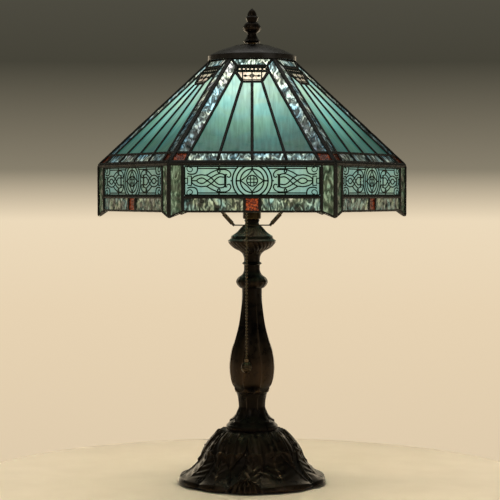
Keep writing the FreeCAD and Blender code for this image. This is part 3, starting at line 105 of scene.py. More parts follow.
class Shader:
    """The node tree of one material, with short calls that add and join its nodes."""

    def __init__(self, name: str) -> None:
        """Starts a material with a principled surface.

        Args:
            name: the material's name.
        """
        self.material = bpy.data.materials.new(name)
        self.material.use_nodes = True
        self.nodes = self.material.node_tree.nodes
        self.links = self.material.node_tree.links
        self.nodes.clear()
        self.surface = self.nodes.new("ShaderNodeBsdfPrincipled")
        output = self.nodes.new("ShaderNodeOutputMaterial")
        self.links.new(self.surface.outputs[0], output.inputs[0])
        self.place = self.nodes.new("ShaderNodeTexCoord").outputs["Object"]

    def feed(self, socket: bpy.types.NodeSocket, value: object) -> None:
        """Joins an output to an input, or sets the input's own value.

        Args:
            socket: the input.
            value: an output socket, a number, or a colour of three numbers.
        """
        if isinstance(value, bpy.types.NodeSocket):
            self.links.new(value, socket)
        elif socket.type == "RGBA":
            socket.default_value = (*value, 1.0)
        else:
            socket.default_value = value

    def set(self, **values: object) -> None:
        """Sets or joins the surface's inputs, by their names with _ for a space."""
        for name, value in values.items():
            self.feed(self.surface.inputs[name.replace("_", " ")], value)

    def mark(self, name: str, vector: bool = False) -> bpy.types.NodeSocket:
        """Reads a mesh attribute.

        Args:
            name: the attribute.
            vector: whether it holds a place instead of a number.

        Returns:
            The output that gives it.
        """
        node = self.nodes.new("ShaderNodeAttribute")
        node.attribute_name = name
        return node.outputs["Vector" if vector else "Fac"]

    def stretched(
        self, scale: Sequence[float], place: bpy.types.NodeSocket | None = None
    ) -> bpy.types.NodeSocket:
        """A place, scaled along each axis.

        Args:
            scale: the three factors.
            place: the place to scale, or the object's own if left out.

        Returns:
            The scaled place.
        """
        node = self.nodes.new("ShaderNodeMapping")
        self.feed(node.inputs["Vector"], place or self.place)
        node.inputs["Scale"].default_value = scale
        return node.outputs["Vector"]

    def noise(
        self,
        grain: float,
        place: bpy.types.NodeSocket | None = None,
        detail: float = 3.0,
        twist: float = 0.0,
    ) -> bpy.types.NodeSocket:
        """A cloudy pattern.

        Args:
            grain: the size of its patches, in metres.
            place: where to read it, or the object's own place if left out.
            detail: how many finer layers it has.
            twist: how far it is distorted.

        Returns:
            A number from about 0.3 to 0.7.
        """
        node = self.nodes.new("ShaderNodeTexNoise")
        self.feed(node.inputs["Vector"], place or self.place)
        node.inputs["Scale"].default_value = 1 / grain
        node.inputs["Detail"].default_value = detail
        node.inputs["Distortion"].default_value = twist
        return node.outputs["Fac"]

    def ramp(self, factor: bpy.types.NodeSocket, stops: Sequence[Stop]) -> bpy.types.NodeSocket:
        """A colour picked from stops by a number.

        Args:
            factor: the number, from 0 to 1.
            stops: the number and colour of each stop, in order.

        Returns:
            The colour.
        """
        node = self.nodes.new("ShaderNodeValToRGB")
        set_stops(node.color_ramp, stops)
        self.links.new(factor, node.inputs["Fac"])
        return node.outputs["Color"]

    def grey(self, factor: bpy.types.NodeSocket, stops: Sequence[Flat]) -> bpy.types.NodeSocket:
        """A number picked from stops by a number, as ramp does with colours."""
        return self.ramp(factor, [(at, (value,) * 3) for at, value in stops])

    def times(self, first: object, second: object) -> bpy.types.NodeSocket:
        """The product of two colours.

        Args:
            first: the first colour.
            second: the second colour.

        Returns:
            The product.
        """
        node = self.nodes.new("ShaderNodeMix")
        node.data_type = "RGBA"
        node.blend_type = "MULTIPLY"
        self.feed(node.inputs[MIX_SHARE], 1.0)
        self.feed(node.inputs[MIX_FIRST], first)
        self.feed(node.inputs[MIX_SECOND], second)
        return node.outputs[MIX_RESULT]

    def math(self, operation: str, *values: object) -> bpy.types.NodeSocket:
        """One arithmetic step on numbers.

        Args:
            operation: the step's name in Blender.
            *values: the numbers, or the outputs that give them.

        Returns:
            The result.
        """
        node = self.nodes.new("ShaderNodeMath")
        node.operation = operation
        for socket, value in zip(node.inputs, values):
            self.feed(socket, value)
        return node.outputs[0]

    def reach(self, point: Sequence[float], longest: float) -> bpy.types.NodeSocket:
        """The distance from a point of the object, as a share of the longest distance.

        Args:
            point: the point.
            longest: the distance that gives 1.

        Returns:
            The share.
        """
        node = self.nodes.new("ShaderNodeVectorMath")
        node.operation = "DISTANCE"
        self.links.new(self.place, node.inputs[0])
        node.inputs[1].default_value = point
        return self.math("DIVIDE", node.outputs["Value"], longest)

    def bump(self, height: bpy.types.NodeSocket, depth: float) -> None:
        """Roughens the surface.

        Args:
            height: the pattern.
            depth: how deep it goes, in metres.
        """
        node = self.nodes.new("ShaderNodeBump")
        node.inputs["Distance"].default_value = depth
        self.links.new(height, node.inputs["Height"])
        self.links.new(node.outputs["Normal"], self.surface.inputs["Normal"])


@dataclass(frozen=True)
class Metal:
    """A metal with mottled colour, uneven gloss and a fine surface, lighter where it is rubbed."""

    name: str
    deep: Colour
    high: Colour
    gloss: Flat = (0.28, 0.5)
    grain: float = 9 * MM
    depth: float = 0.05 * MM
    metallic: float = 0.9
    stretch: tuple[float, float, float] = (1.0, 1.0, 1.0)
    carved: bool = False
    rub: float = 0.62
    mottling: float = 0.42
    fineness: float = 9.0

    def make(self) -> bpy.types.Material:
        """Builds the material.

        Returns:
            The material.
        """
        shader = Shader(self.name)
        place = shader.stretched(self.stretch)
        mottle = shader.noise(self.grain, place, detail=5.0, twist=0.4)
        fine = shader.noise(self.grain / self.fineness, place, detail=3.0)
        if self.carved:
            worn = shader.mark("relief")
        else:
            point = shader.nodes.new("ShaderNodeNewGeometry").outputs["Pointiness"]
            worn = shader.grey(point, [(0.49, 0.0), (0.56, 1.0)])
        patches = shader.math("MULTIPLY", mottle, self.mottling)
        lift = shader.math("MULTIPLY_ADD", worn, self.rub, patches)
        shader.set(
            Base_Color=shader.ramp(lift, [(0.14, self.deep), (0.85, self.high)]),
            Metallic=self.metallic,
            Roughness=shader.grey(mottle, [(0.35, self.gloss[0]), (0.66, self.gloss[1])]),
        )
        shader.bump(fine, self.depth)
        return shader.material


@dataclass(frozen=True)
class Plain:
    """Felt, rubber, card or moulding: a dull surface with a fibre or grain of its own."""

    name: str
    dark: Colour
    light: Colour
    grain: float
    depth: float
    roughness: Flat = (0.6, 0.85)
    sheen: float = 0.0
    fibre_share: float = 0.6
    cloud_grains: float = 14.0

    def make(self) -> bpy.types.Material:
        """Builds the material.

        Returns:
            The material.
        """
        shader = Shader(self.name)
        fibre = shader.noise(self.grain, detail=6.0, twist=1.5)
        cloud = shader.noise(self.grain * self.cloud_grains, detail=3.0)
        patches = shader.math("MULTIPLY", cloud, 1.0 - self.fibre_share)
        both = shader.math("MULTIPLY_ADD", fibre, self.fibre_share, patches)
        shader.set(
            Base_Color=shader.ramp(both, [(0.36, self.dark), (0.64, self.light)]),
            Roughness=shader.grey(fibre, [(0.3, self.roughness[0]), (0.7, self.roughness[1])]),
            Sheen_Weight=self.sheen,
        )
        shader.bump(fibre, self.depth)
        return shader.material


# The shade's glass glows with painted light, fading with distance from this point in the bulb.
LIGHT_POINT = (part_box("bulb_glass")[0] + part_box("bulb_glass")[1]) / 2
LIGHT_REACH = 0.25
WHITE = (1.0, 1.0, 1.0)


def lit(shader: Shader, stops: Sequence[Stop]) -> bpy.types.NodeSocket:
    """The painted glow that the glass has at its distance from the bulb, brighter nearer to it.

    Args:
        shader: the glass's shader.
        stops: the distance in metres and the colour there, nearest first.

    Returns:
        The colour.
    """
    share = shader.reach(LIGHT_POINT, LIGHT_REACH)
    return shader.ramp(share, [(distance / LIGHT_REACH, colour) for distance, colour in stops])


def glow_dimmed_aslant(shader: Shader, colour: bpy.types.NodeSocket, aslant: float) -> bpy.types.NodeSocket:
    """The glass's painted glow, dimmer where its sheet is looked at aslant.

    Args:
        shader: the glass's shader.
        colour: the painted glow seen straight through it.
        aslant: the share of it that is left when the sheet is well turned away.

    Returns:
        The dimmed glow.
    """
    facing = shader.nodes.new("ShaderNodeLayerWeight").outputs["Facing"]
    return shader.times(colour, shader.grey(facing, [(0.36, 1.0), (0.5, aslant)]))


@dataclass(frozen=True)
class ArtGlass:
    """Smooth rolled glass, streaked along its sheet, with a painted glow for the light from within the
    shade.
    """

    name: str
    glow: tuple[Stop, ...]
    streak: float = 0.35
    roughness: float = 0.16
    cool: Colour = (0.84, 1.0, 1.07)
    warm: Colour = (1.06, 1.02, 0.9)
    aslant: float = 0.86
    unlit: float = 0.15
    tones: Flat = (0.78, 1.16)
    streak_grain: float = 3.4 * MM
    cloud_grain: float = 34 * MM
    wave_grain: float = 11 * MM
    wave: float = 0.25 * MM

    def make(self) -> bpy.types.Material:
        """Builds the material.

        Returns:
            The material.
        """
        shader = Shader(self.name)
        board = shader.mark("board", vector=True)
        drawn_out = shader.stretched((1.0, 0.11, 1.0), board)
        grain = shader.noise(self.streak_grain, drawn_out, detail=4.0, twist=0.5)
        cloud = shader.noise(self.cloud_grain, board, detail=2.0, twist=0.8)
        tint = shader.ramp(cloud, [(0.36, self.cool), (0.5, WHITE), (0.66, self.warm)])
        streaks = shader.grey(grain, [(0.32, 1.0 - self.streak), (0.68, 1.0 + self.streak)])
        # Painted glow: the glass's colour times the glow from the bulb, emitted as light and, scaled down,
        # used as its base colour.
        colour = shader.times(shader.times(lit(shader, self.glow), tint), streaks)
        colour = shader.times(colour, shader.grey(shader.mark("tone"), list(enumerate(self.tones))))
        shader.set(
            Base_Color=shader.times(colour, (self.unlit,) * 3),
            Emission_Color=glow_dimmed_aslant(shader, colour, self.aslant),
            Emission_Strength=1.0,
            Roughness=self.roughness,
            Coat_Weight=0.12,
            Coat_Roughness=0.08,
        )
        shader.bump(shader.noise(self.wave_grain, board, detail=2.0), self.wave)
        return shader.material


@dataclass(frozen=True)
class HammeredGlass:
    """Rough clear glass with a painted glow, whose ripples show it as painted bright glints and dark flecks.
    """

    name: str
    glow: tuple[Stop, ...]
    flecks: tuple[Stop, ...]
    tints: tuple[Stop, ...]
    grain: float = 5.0 * MM
    stretch: tuple[float, float, float] = (1.0, 0.42, 1.0)
    twist: float = 1.2
    aslant: float = 0.45
    unlit: float = 0.2
    tones: Flat = (0.7, 1.25)
    cloud_grain: float = 26 * MM
    depth: float = 0.7 * MM

    def make(self) -> bpy.types.Material:
        """Builds the material.

        Returns:
            The material.
        """
        shader = Shader(self.name)
        board = shader.mark("board", vector=True)
        drawn_out = shader.stretched(self.stretch, board)
        ripple = shader.noise(self.grain, drawn_out, detail=2.5, twist=self.twist)
        cloud = shader.noise(self.cloud_grain, board, detail=2.0, twist=0.6)
        # Painted glints and glow: ripple flecks times tint, times the glow from the bulb, emitted as light.
        colour = shader.times(shader.ramp(ripple, self.flecks), shader.ramp(cloud, self.tints))
        colour = shader.times(colour, lit(shader, self.glow))
        colour = shader.times(colour, shader.grey(shader.mark("tone"), list(enumerate(self.tones))))
        shader.set(
            Base_Color=shader.times(colour, (self.unlit,) * 3),
            Emission_Color=glow_dimmed_aslant(shader, colour, self.aslant),
            Emission_Strength=1.0,
            Roughness=0.12,
            Coat_Weight=0.1,
            Coat_Roughness=0.08,
        )
        shader.bump(ripple, self.depth)
        return shader.material


@dataclass(frozen=True)
class LitBulb:
    """Frosted bulb glass, bright all over and a little deeper towards its neck."""

    name: str
    hot: Colour
    neck: Colour
    strength: float
    length: float = 60 * MM

    def make(self) -> bpy.types.Material:
        """Builds the material.

        Returns:
            The material.
        """
        shader = Shader(self.name)
        cloud = shader.noise(12 * MM, detail=2.0)
        reach = shader.reach(LIGHT_POINT, self.length)
        share = shader.math("MULTIPLY_ADD", cloud, 0.12, reach)
        colour = shader.ramp(share, [(0.5, self.hot), (0.95, self.neck)])
        shader.set(
            Base_Color=(0.9, 0.88, 0.84),
            Emission_Color=colour,
            Emission_Strength=self.strength,
            Roughness=0.3,
        )
        shader.bump(shader.noise(0.8 * MM), 0.02 * MM)
        return shader.material


# Painted glints: the ripples' painted dark flecks and bright glints, the brightest above white.
SPARKLE: tuple[Stop, ...] = (
    (0.33, (0.03, 0.036, 0.033)),
    (0.44, (0.10, 0.125, 0.12)),
    (0.51, (0.34, 0.40, 0.39)),
    (0.58, (0.95, 1.0, 0.97)),
    (0.67, (2.0, 2.05, 2.0)),
)
CLEAR_TINTS: tuple[Stop, ...] = (
    (0.36, (0.45, 0.72, 0.86)),
    (0.48, (0.85, 0.98, 0.95)),
    (0.58, (1.0, 0.97, 0.78)),
    (0.68, (0.95, 0.85, 0.9)),
)
CLEAR_GLOW: tuple[Stop, ...] = (
    (0.09, (1.25, 1.28, 1.2)),
    (0.125, (0.85, 0.92, 0.88)),
    (0.15, (0.46, 0.54, 0.56)),
    (0.19, (0.41, 0.47, 0.45)),
    (0.22, (0.26, 0.31, 0.27)),
)

FINISHES = {
    "bronze": Metal("bronze", (0.0025, 0.0018, 0.0012), (0.040, 0.026, 0.015), (0.24, 0.44), carved=True),
    "harp_bronze": Metal("harp_bronze", (0.008, 0.006, 0.004), (0.05, 0.037, 0.024), stretch=(1, 1, 0.15)),
    "iron": Metal("iron", (0.03, 0.028, 0.026), (0.12, 0.10, 0.09), (0.55, 0.8), 5 * MM, 0.25 * MM, 0.6),
    "steel": Metal("steel", (0.42, 0.42, 0.43), (0.62, 0.62, 0.63), (0.22, 0.4), 7 * MM, 0.02 * MM, 1.0),
    "brass": Metal(
        "brass", (0.008, 0.0055, 0.003), (0.075, 0.05, 0.022), (0.2, 0.42), 8 * MM, 0.02 * MM, 1.0
    ),
    "chain_brass": Metal(
        "chain_brass", (0.014, 0.011, 0.007), (0.10, 0.075, 0.045), (0.16, 0.34), 6 * MM, 0.02 * MM, 1.0
    ),
    "nickel": Metal("nickel", (0.45, 0.44, 0.41), (0.7, 0.69, 0.66), (0.2, 0.36), 9 * MM, 0.02 * MM, 1.0),
    "lead": Metal(
        "lead", (0.002, 0.0022, 0.002), (0.014, 0.015, 0.013), (0.32, 0.6), 5 * MM, 0.12 * MM, 0.5
    ),
    "filigree_bronze": Metal(
        "filigree_bronze", (0.002, 0.006, 0.004), (0.010, 0.02, 0.015), (0.4, 0.65), 4 * MM
    ),
    "cap_black": Metal(
        "cap_black", (0.002, 0.0018, 0.0016), (0.010, 0.0085, 0.007), (0.26, 0.42), 12 * MM, 0.05 * MM, 0.5
    ),
    "felt": Plain("felt", (0.008, 0.008, 0.008), (0.035, 0.035, 0.034), 0.7 * MM, 0.3 * MM, sheen=0.4),
    "rubber": Plain("rubber", (0.012, 0.012, 0.012), (0.03, 0.03, 0.03), 1.2 * MM, 0.03 * MM, (0.45, 0.65)),
    "card": Plain("card", (0.32, 0.27, 0.2), (0.46, 0.4, 0.31), 0.9 * MM, 0.05 * MM),
    "phenolic": Plain(
        "phenolic", (0.018, 0.012, 0.009), (0.045, 0.03, 0.022), 1.0 * MM, 0.02 * MM, (0.28, 0.42)
    ),
    "bulb_white": LitBulb("bulb_white", (1.0, 0.93, 0.80), (1.0, 0.72, 0.44), 5.0),
    "bulb_clear": LitBulb("bulb_clear", (1.0, 0.9, 0.74), (1.0, 0.8, 0.55), 1.0),
    "teal_glass": ArtGlass(
        "teal_glass",
        (
            (0.085, (0.74, 1.0, 0.86)),
            (0.100, (0.56, 0.88, 0.73)),
            (0.115, (0.27, 0.56, 0.46)),
            (0.130, (0.125, 0.33, 0.265)),
            (0.150, (0.048, 0.155, 0.125)),
            (0.175, (0.032, 0.10, 0.08)),
            (0.21, (0.028, 0.085, 0.07)),
        ),
        streak=0.2,
    ),
    "band_glass": ArtGlass(
        "band_glass",
        ((0.175, (0.32, 0.53, 0.42)), (0.20, (0.25, 0.42, 0.34)), (0.23, (0.13, 0.23, 0.19))),
        streak=0.12,
        aslant=0.55,
    ),
    "textured_glass": HammeredGlass("textured_glass", CLEAR_GLOW, SPARKLE, CLEAR_TINTS),
    "hip_strip_glass": HammeredGlass(
        "hip_strip_glass",
        (
            (0.09, (1.35, 1.36, 1.25)),
            (0.125, (0.85, 0.92, 0.88)),
            (0.145, (0.38, 0.46, 0.49)),
            (0.17, (0.16, 0.23, 0.27)),
            (0.20, (0.09, 0.14, 0.16)),
        ),
        SPARKLE,
        CLEAR_TINTS,
    ),
    "hem_clear_glass": HammeredGlass(
        "hem_clear_glass", ((0.19, (0.41, 0.43, 0.31)), (0.23, (0.15, 0.18, 0.14))), SPARKLE, CLEAR_TINTS
    ),
    "corner_red_glass": HammeredGlass(
        "corner_red_glass",
        ((0.17, (0.4, 0.4, 0.4)), (0.24, (0.32, 0.32, 0.32))),
        ((0.34, (0.02, 0.002, 0.001)), (0.5, (0.10, 0.010, 0.002)), (0.62, (0.42, 0.07, 0.012))),
        ((0.4, (0.75, 0.8, 0.8)), (0.6, WHITE)),
        2.6 * MM,
    ),
    "pearl_glass": HammeredGlass(
        "pearl_glass",
        ((0.08, (1.2, 1.19, 1.06)), (0.11, (1.1, 1.09, 0.98)), (0.14, (0.62, 0.58, 0.5))),
        ((0.36, (0.6, 0.5, 0.42)), (0.5, (0.95, 0.88, 0.78)), (0.6, (1.25, 1.2, 1.05))),
        ((0.4, (1.0, 0.88, 0.84)), (0.6, (1.0, 1.0, 0.9))),
        3.0 * MM,
    ),
    "pale_glass": HammeredGlass(
        "pale_glass",
        ((0.18, (0.22, 0.26, 0.19)), (0.24, (0.13, 0.16, 0.12))),
        (
            (0.34, (0.10, 0.13, 0.10)),
            (0.47, (0.30, 0.37, 0.28)),
            (0.58, (0.85, 0.95, 0.8)),
            (0.66, (2.2, 2.3, 2.1)),
        ),
        ((0.38, (0.78, 0.95, 0.9)), (0.6, (1.0, 0.98, 0.88))),
        5.0 * MM,
        (1.0, 0.35, 1.0),
    ),
    "red_glass": HammeredGlass(
        "red_glass",
        ((0.17, (0.6, 0.6, 0.6)), (0.24, (0.5, 0.5, 0.5))),
        ((0.34, (0.05, 0.004, 0.001)), (0.5, (0.26, 0.024, 0.004)), (0.62, (0.85, 0.14, 0.024))),
        ((0.4, (0.75, 0.8, 0.8)), (0.6, WHITE)),
        2.4 * MM,
        (1.0, 1.0, 1.0),
        0.8,
    ),
}


# ------------------------------------------------------------------ meshes


class Clay:
    """Gathers points and faces, with marks on the points, and makes one mesh of them."""

    def __init__(self) -> None:
        """Starts empty."""
        self.points: list[Sequence[float]] = []
        self.faces: list[Sequence[int]] = []
        self.marks: dict[str, list[object]] = {}

    def add(self, points: Sequence, faces: Sequence[Sequence[int]], **marks: Sequence) -> None:
        """Adds a closed piece.

        Args:
            points: its points.
            faces: its faces, as numbers of its own points.
            marks: for each mark, a value for every point.
        """
        start = len(self.points)
        self.points.extend(points)
        self.faces.extend([start + i for i in face] for face in faces)
        for name, values in marks.items():
            self.marks.setdefault(name, []).extend(values)

    def round_copies(self) -> "Clay":
        """Repeats the points and faces six times, turned round the lamp's axis.

        Returns:
            The whole.
        """
        whole = Clay()
        points = np.array(self.points, float)
        for k in range(FACES):
            whole.add(turned_round(points, k).tolist(), self.faces)
        return whole

    def piece(
        self, name: str, body: Body, slot: str, *stands_for: str, angle: float = 40.0
    ) -> bpy.types.Object:
        """Makes the object, dresses it and puts it on its body.

        Args:
            name: the piece's name.
            body: the body that it rides on.
            slot: the material slot of the record that it takes its finish from.
            stands_for: the CAD nodes that it replaces.
            angle: the angle in degrees past which an edge is left sharp.

        Returns:
            The object.
        """
        mesh = bpy.data.meshes.new(name)
        mesh.from_pydata([tuple(p) for p in self.points], [], self.faces)
        turn_outward(mesh)
        for mark, values in self.marks.items():
            is_place = isinstance(values[0], (tuple, list))
            attribute = mesh.attributes.new(mark, "FLOAT_VECTOR" if is_place else "FLOAT", "POINT")
            flat = np.array(values, np.float32).ravel()
            attribute.data.foreach_set("vector" if is_place else "value", flat)
        mesh.shade_smooth()
        mesh.set_sharp_from_angle(angle=math.radians(angle))
        mesh.validate()
        thing = bpy.data.objects.new(name, mesh)
        bpy.context.scene.collection.objects.link(thing)
        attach(thing, body.value)
        if stands_for:
            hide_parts(*stands_for)
        finish = next((node for node in stands_for if node in FINISHES), slot)
        thing.data.materials.append(material(finish))
        LOG.info("%s: %d faces", name, len(mesh.polygons))
        return thing


def turn_outward(mesh: bpy.types.Mesh) -> None:
    """Turns every face of a mesh to look outwards.

    Args:
        mesh: the mesh.
    """
    shape = bmesh.new()
    shape.from_mesh(mesh)
    bmesh.ops.recalc_face_normals(shape, faces=shape.faces)
    shape.to_mesh(mesh)
    shape.free()


def material(finish: str) -> bpy.types.Material:
    """The material of a finish, made the first time that it is asked for.

    Args:
        finish: the finish's name.

    Returns:
        The material.
    """
    made = bpy.data.materials.get(FINISHES[finish].name + "_finish")
    if made is None:
        made = FINISHES[finish].make()
        made.name = FINISHES[finish].name + "_finish"
    return made


def turned_round(points: np.ndarray, faces: int) -> np.ndarray:
    """Points turned about the lamp's axis by a number of the shade's faces.

    Args:
        points: the points.
        faces: the number of faces.

    Returns:
        The turned points.
    """
    angle = FACE_TURN * faces
    c, s = math.cos(angle), math.sin(angle)
    turn = np.array([[c, -s, 0.0], [s, c, 0.0], [0.0, 0.0, 1.0]])
    return points @ turn.T


def ease(x: np.ndarray, low: float, high: float) -> np.ndarray:
    """Rises smoothly from 0 at low to 1 at high."""
    t = np.clip((x - low) / (high - low), 0.0, 1.0)
    return t * t * (3 - 2 * t)


def hump(x: np.ndarray, width: float) -> np.ndarray:
    """A smooth ridge of height 1 at 0, about twice width across."""
    return np.exp(-((x / width) ** 2))


def between(level: np.ndarray, start: float, full: float, fade: float, end: float) -> np.ndarray:
    """A smooth plateau over a range of levels.

    Args:
        level: the levels, in metres.
        start: where it leaves 0, in millimetres.
        full: where it reaches 1.
        fade: where it leaves 1.
        end: where it is 0 again.

    Returns:
        The height at each level, from 0 to 1.
    """
    return ease(level, start * MM, full * MM) * (1 - ease(level, fade * MM, end * MM))


def off_by(turn: np.ndarray, angle: float) -> np.ndarray:
    """How far each azimuth is from an angle, from -180 to 180 degrees."""
    return (turn - angle + 180.0) % 360.0 - 180.0


def ring_faces(rings: int, around: int, closed: bool = False) -> list[Sequence[int]]:
    """The faces between neighbouring rings of points.

    Args:
        rings: how many rings there are.
        around: how many points each ring has.
        closed: whether the last ring joins the first, instead of both being capped.

    Returns:
        The faces.
    """
    last = (rings - 1) * around
    faces: list[Sequence[int]] = []
    if not closed:
        faces = [tuple(range(around)), tuple(range(last, last + around))[::-1]]
    for i in range(rings if closed else rings - 1):
        j = (i + 1) % rings
        for k in range(around):
            n = (k + 1) % around
            faces.append((i * around + k, j * around + k, j * around + n, i * around + n))
    return faces


def round_points(profile: Sequence[Flat], around: int) -> list[Vector]:
    """The points of a profile turned about the upright axis.

    Args:
        profile: the radius and the height of each of its points.
        around: how many points each ring has.

    Returns:
        The points, ring by ring.
    """
    angles = [2 * math.pi * k / around for k in range(around)]
    return [Vector((r * math.cos(angle), r * math.sin(angle), z)) for r, z in profile for angle in angles]


# ------------------------------------------------------------------ turned castings


@dataclass
class Outline:
    """The half section of a turned node, read from its mesh level by level."""

    node: str
    step: float = 0.3 * MM
    skin: float = 0.25 * MM
    margin: float = 0.02 * MM
    front: float = 0.1 * MM

    def read(self) -> tuple[np.ndarray, np.ndarray, np.ndarray, Vector]:
        """Reads the node's outer and inner radius at every level.

        Returns:
            Levels, outer radii and inner radii, which are 0 where it is solid, and the axis's place.
        """
        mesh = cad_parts[self.node].data
        points = np.array([v.co for v in mesh.vertices], float)
        edges = np.array([e.vertices[:] for e in mesh.edges])
        low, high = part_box(self.node)
        axis = Vector(((low.x + high.x) / 2, (low.y + high.y) / 2, 0.0))
        points[:, 0] -= axis.x
        points[:, 1] -= axis.y
        front = (points[edges[:, 0], 1] < self.front) & (points[edges[:, 1], 1] < self.front)
        first, second = points[edges[front, 0]], points[edges[front, 1]]
        count = max(4, int((high.z - low.z) / self.step))
        levels = np.linspace(low.z + self.margin, high.z - self.margin, count)
        outer, inner = [], []
        for level in levels:
            crossing = (first[:, 2] - level) * (second[:, 2] - level) < 0
            a, b = first[crossing], second[crossing]
            share = ((level - a[:, 2]) / (b[:, 2] - a[:, 2]))[:, None]
            cut = a + (b - a) * share
            radii = np.hypot(cut[:, 0], cut[:, 1])
            outer.append(radii.max())
            inner.append(radii.min() if radii.max() - radii.min() > self.skin else 0.0)
        levels[0], levels[-1] = low.z, high.z
        return levels, np.array(outer), np.array(inner), axis


@dataclass
class Turning:
    """A turned piece whose outer surface carries carving."""

    name: str
    nodes: tuple[str, ...]
    body: Body
    slot: str
    relief: Relief
    columns: int = 240
    row: float = 0.8 * MM
    step: float = 0.3 * MM
    tallest: float = 2.0 * MM
    plain_end: float = 0.012
    inner_row: float = 1.5 * MM
    core: float = 0.02 * MM

    def build(self) -> bpy.types.Object:
        """Turns the piece and raises its carving.

        Returns:
            The object, in place of its first node and any others named with it.
        """
        levels, outer, inner, axis = Outline(self.nodes[0], self.step).read()
        length = np.concatenate([[0.0], np.cumsum(np.hypot(np.diff(outer), np.diff(levels)))])
        rows = max(6, int(length[-1] / self.row))
        along = np.linspace(0.0, length[-1], rows)
        radius = np.interp(along, length, outer)
        level = np.interp(along, length, levels)
        slope_r, slope_z = np.gradient(radius, along), np.gradient(level, along)
        size = np.hypot(slope_r, slope_z)
        turn = np.linspace(-180.0, 180.0, self.columns, endpoint=False)
        grid_turn, grid_rise = np.meshgrid(turn, along / along[-1])
        grid_level = np.repeat(level[:, None], self.columns, axis=1)
        height = self.relief(grid_turn, grid_rise, grid_level)
        height = height * ease(grid_rise, 0.0, self.plain_end) * ease(1.0 - grid_rise, 0.0, self.plain_end)
        out_r = radius[:, None] + height * (slope_z / size)[:, None]
        out_z = np.clip(level[:, None] - height * (slope_r / size)[:, None], levels[0], levels[-1])
        back = slice(None, None, -max(1, int(self.inner_row / self.step)))
        in_r = np.repeat(np.maximum(inner[back], self.core)[:, None], self.columns, axis=1)
        in_z = np.repeat(levels[back][:, None], self.columns, axis=1)
        all_r, all_z = np.vstack([out_r, in_r]), np.vstack([out_z, in_z])
        angle = np.radians(turn - 90.0)[None, :]
        places = np.stack([all_r * np.cos(angle) + axis.x, all_r * np.sin(angle) + axis.y, all_z], axis=2)
        faces = ring_faces(*all_r.shape, closed=True)
        marks = np.vstack([np.clip(height / self.tallest, 0.0, 1.0), np.zeros_like(in_r)])
        clay = Clay()
        clay.add(places.reshape(-1, 3).tolist(), faces, relief=marks.ravel().tolist())
        return clay.piece(self.name, self.body, self.slot, *self.nodes, angle=55.0)


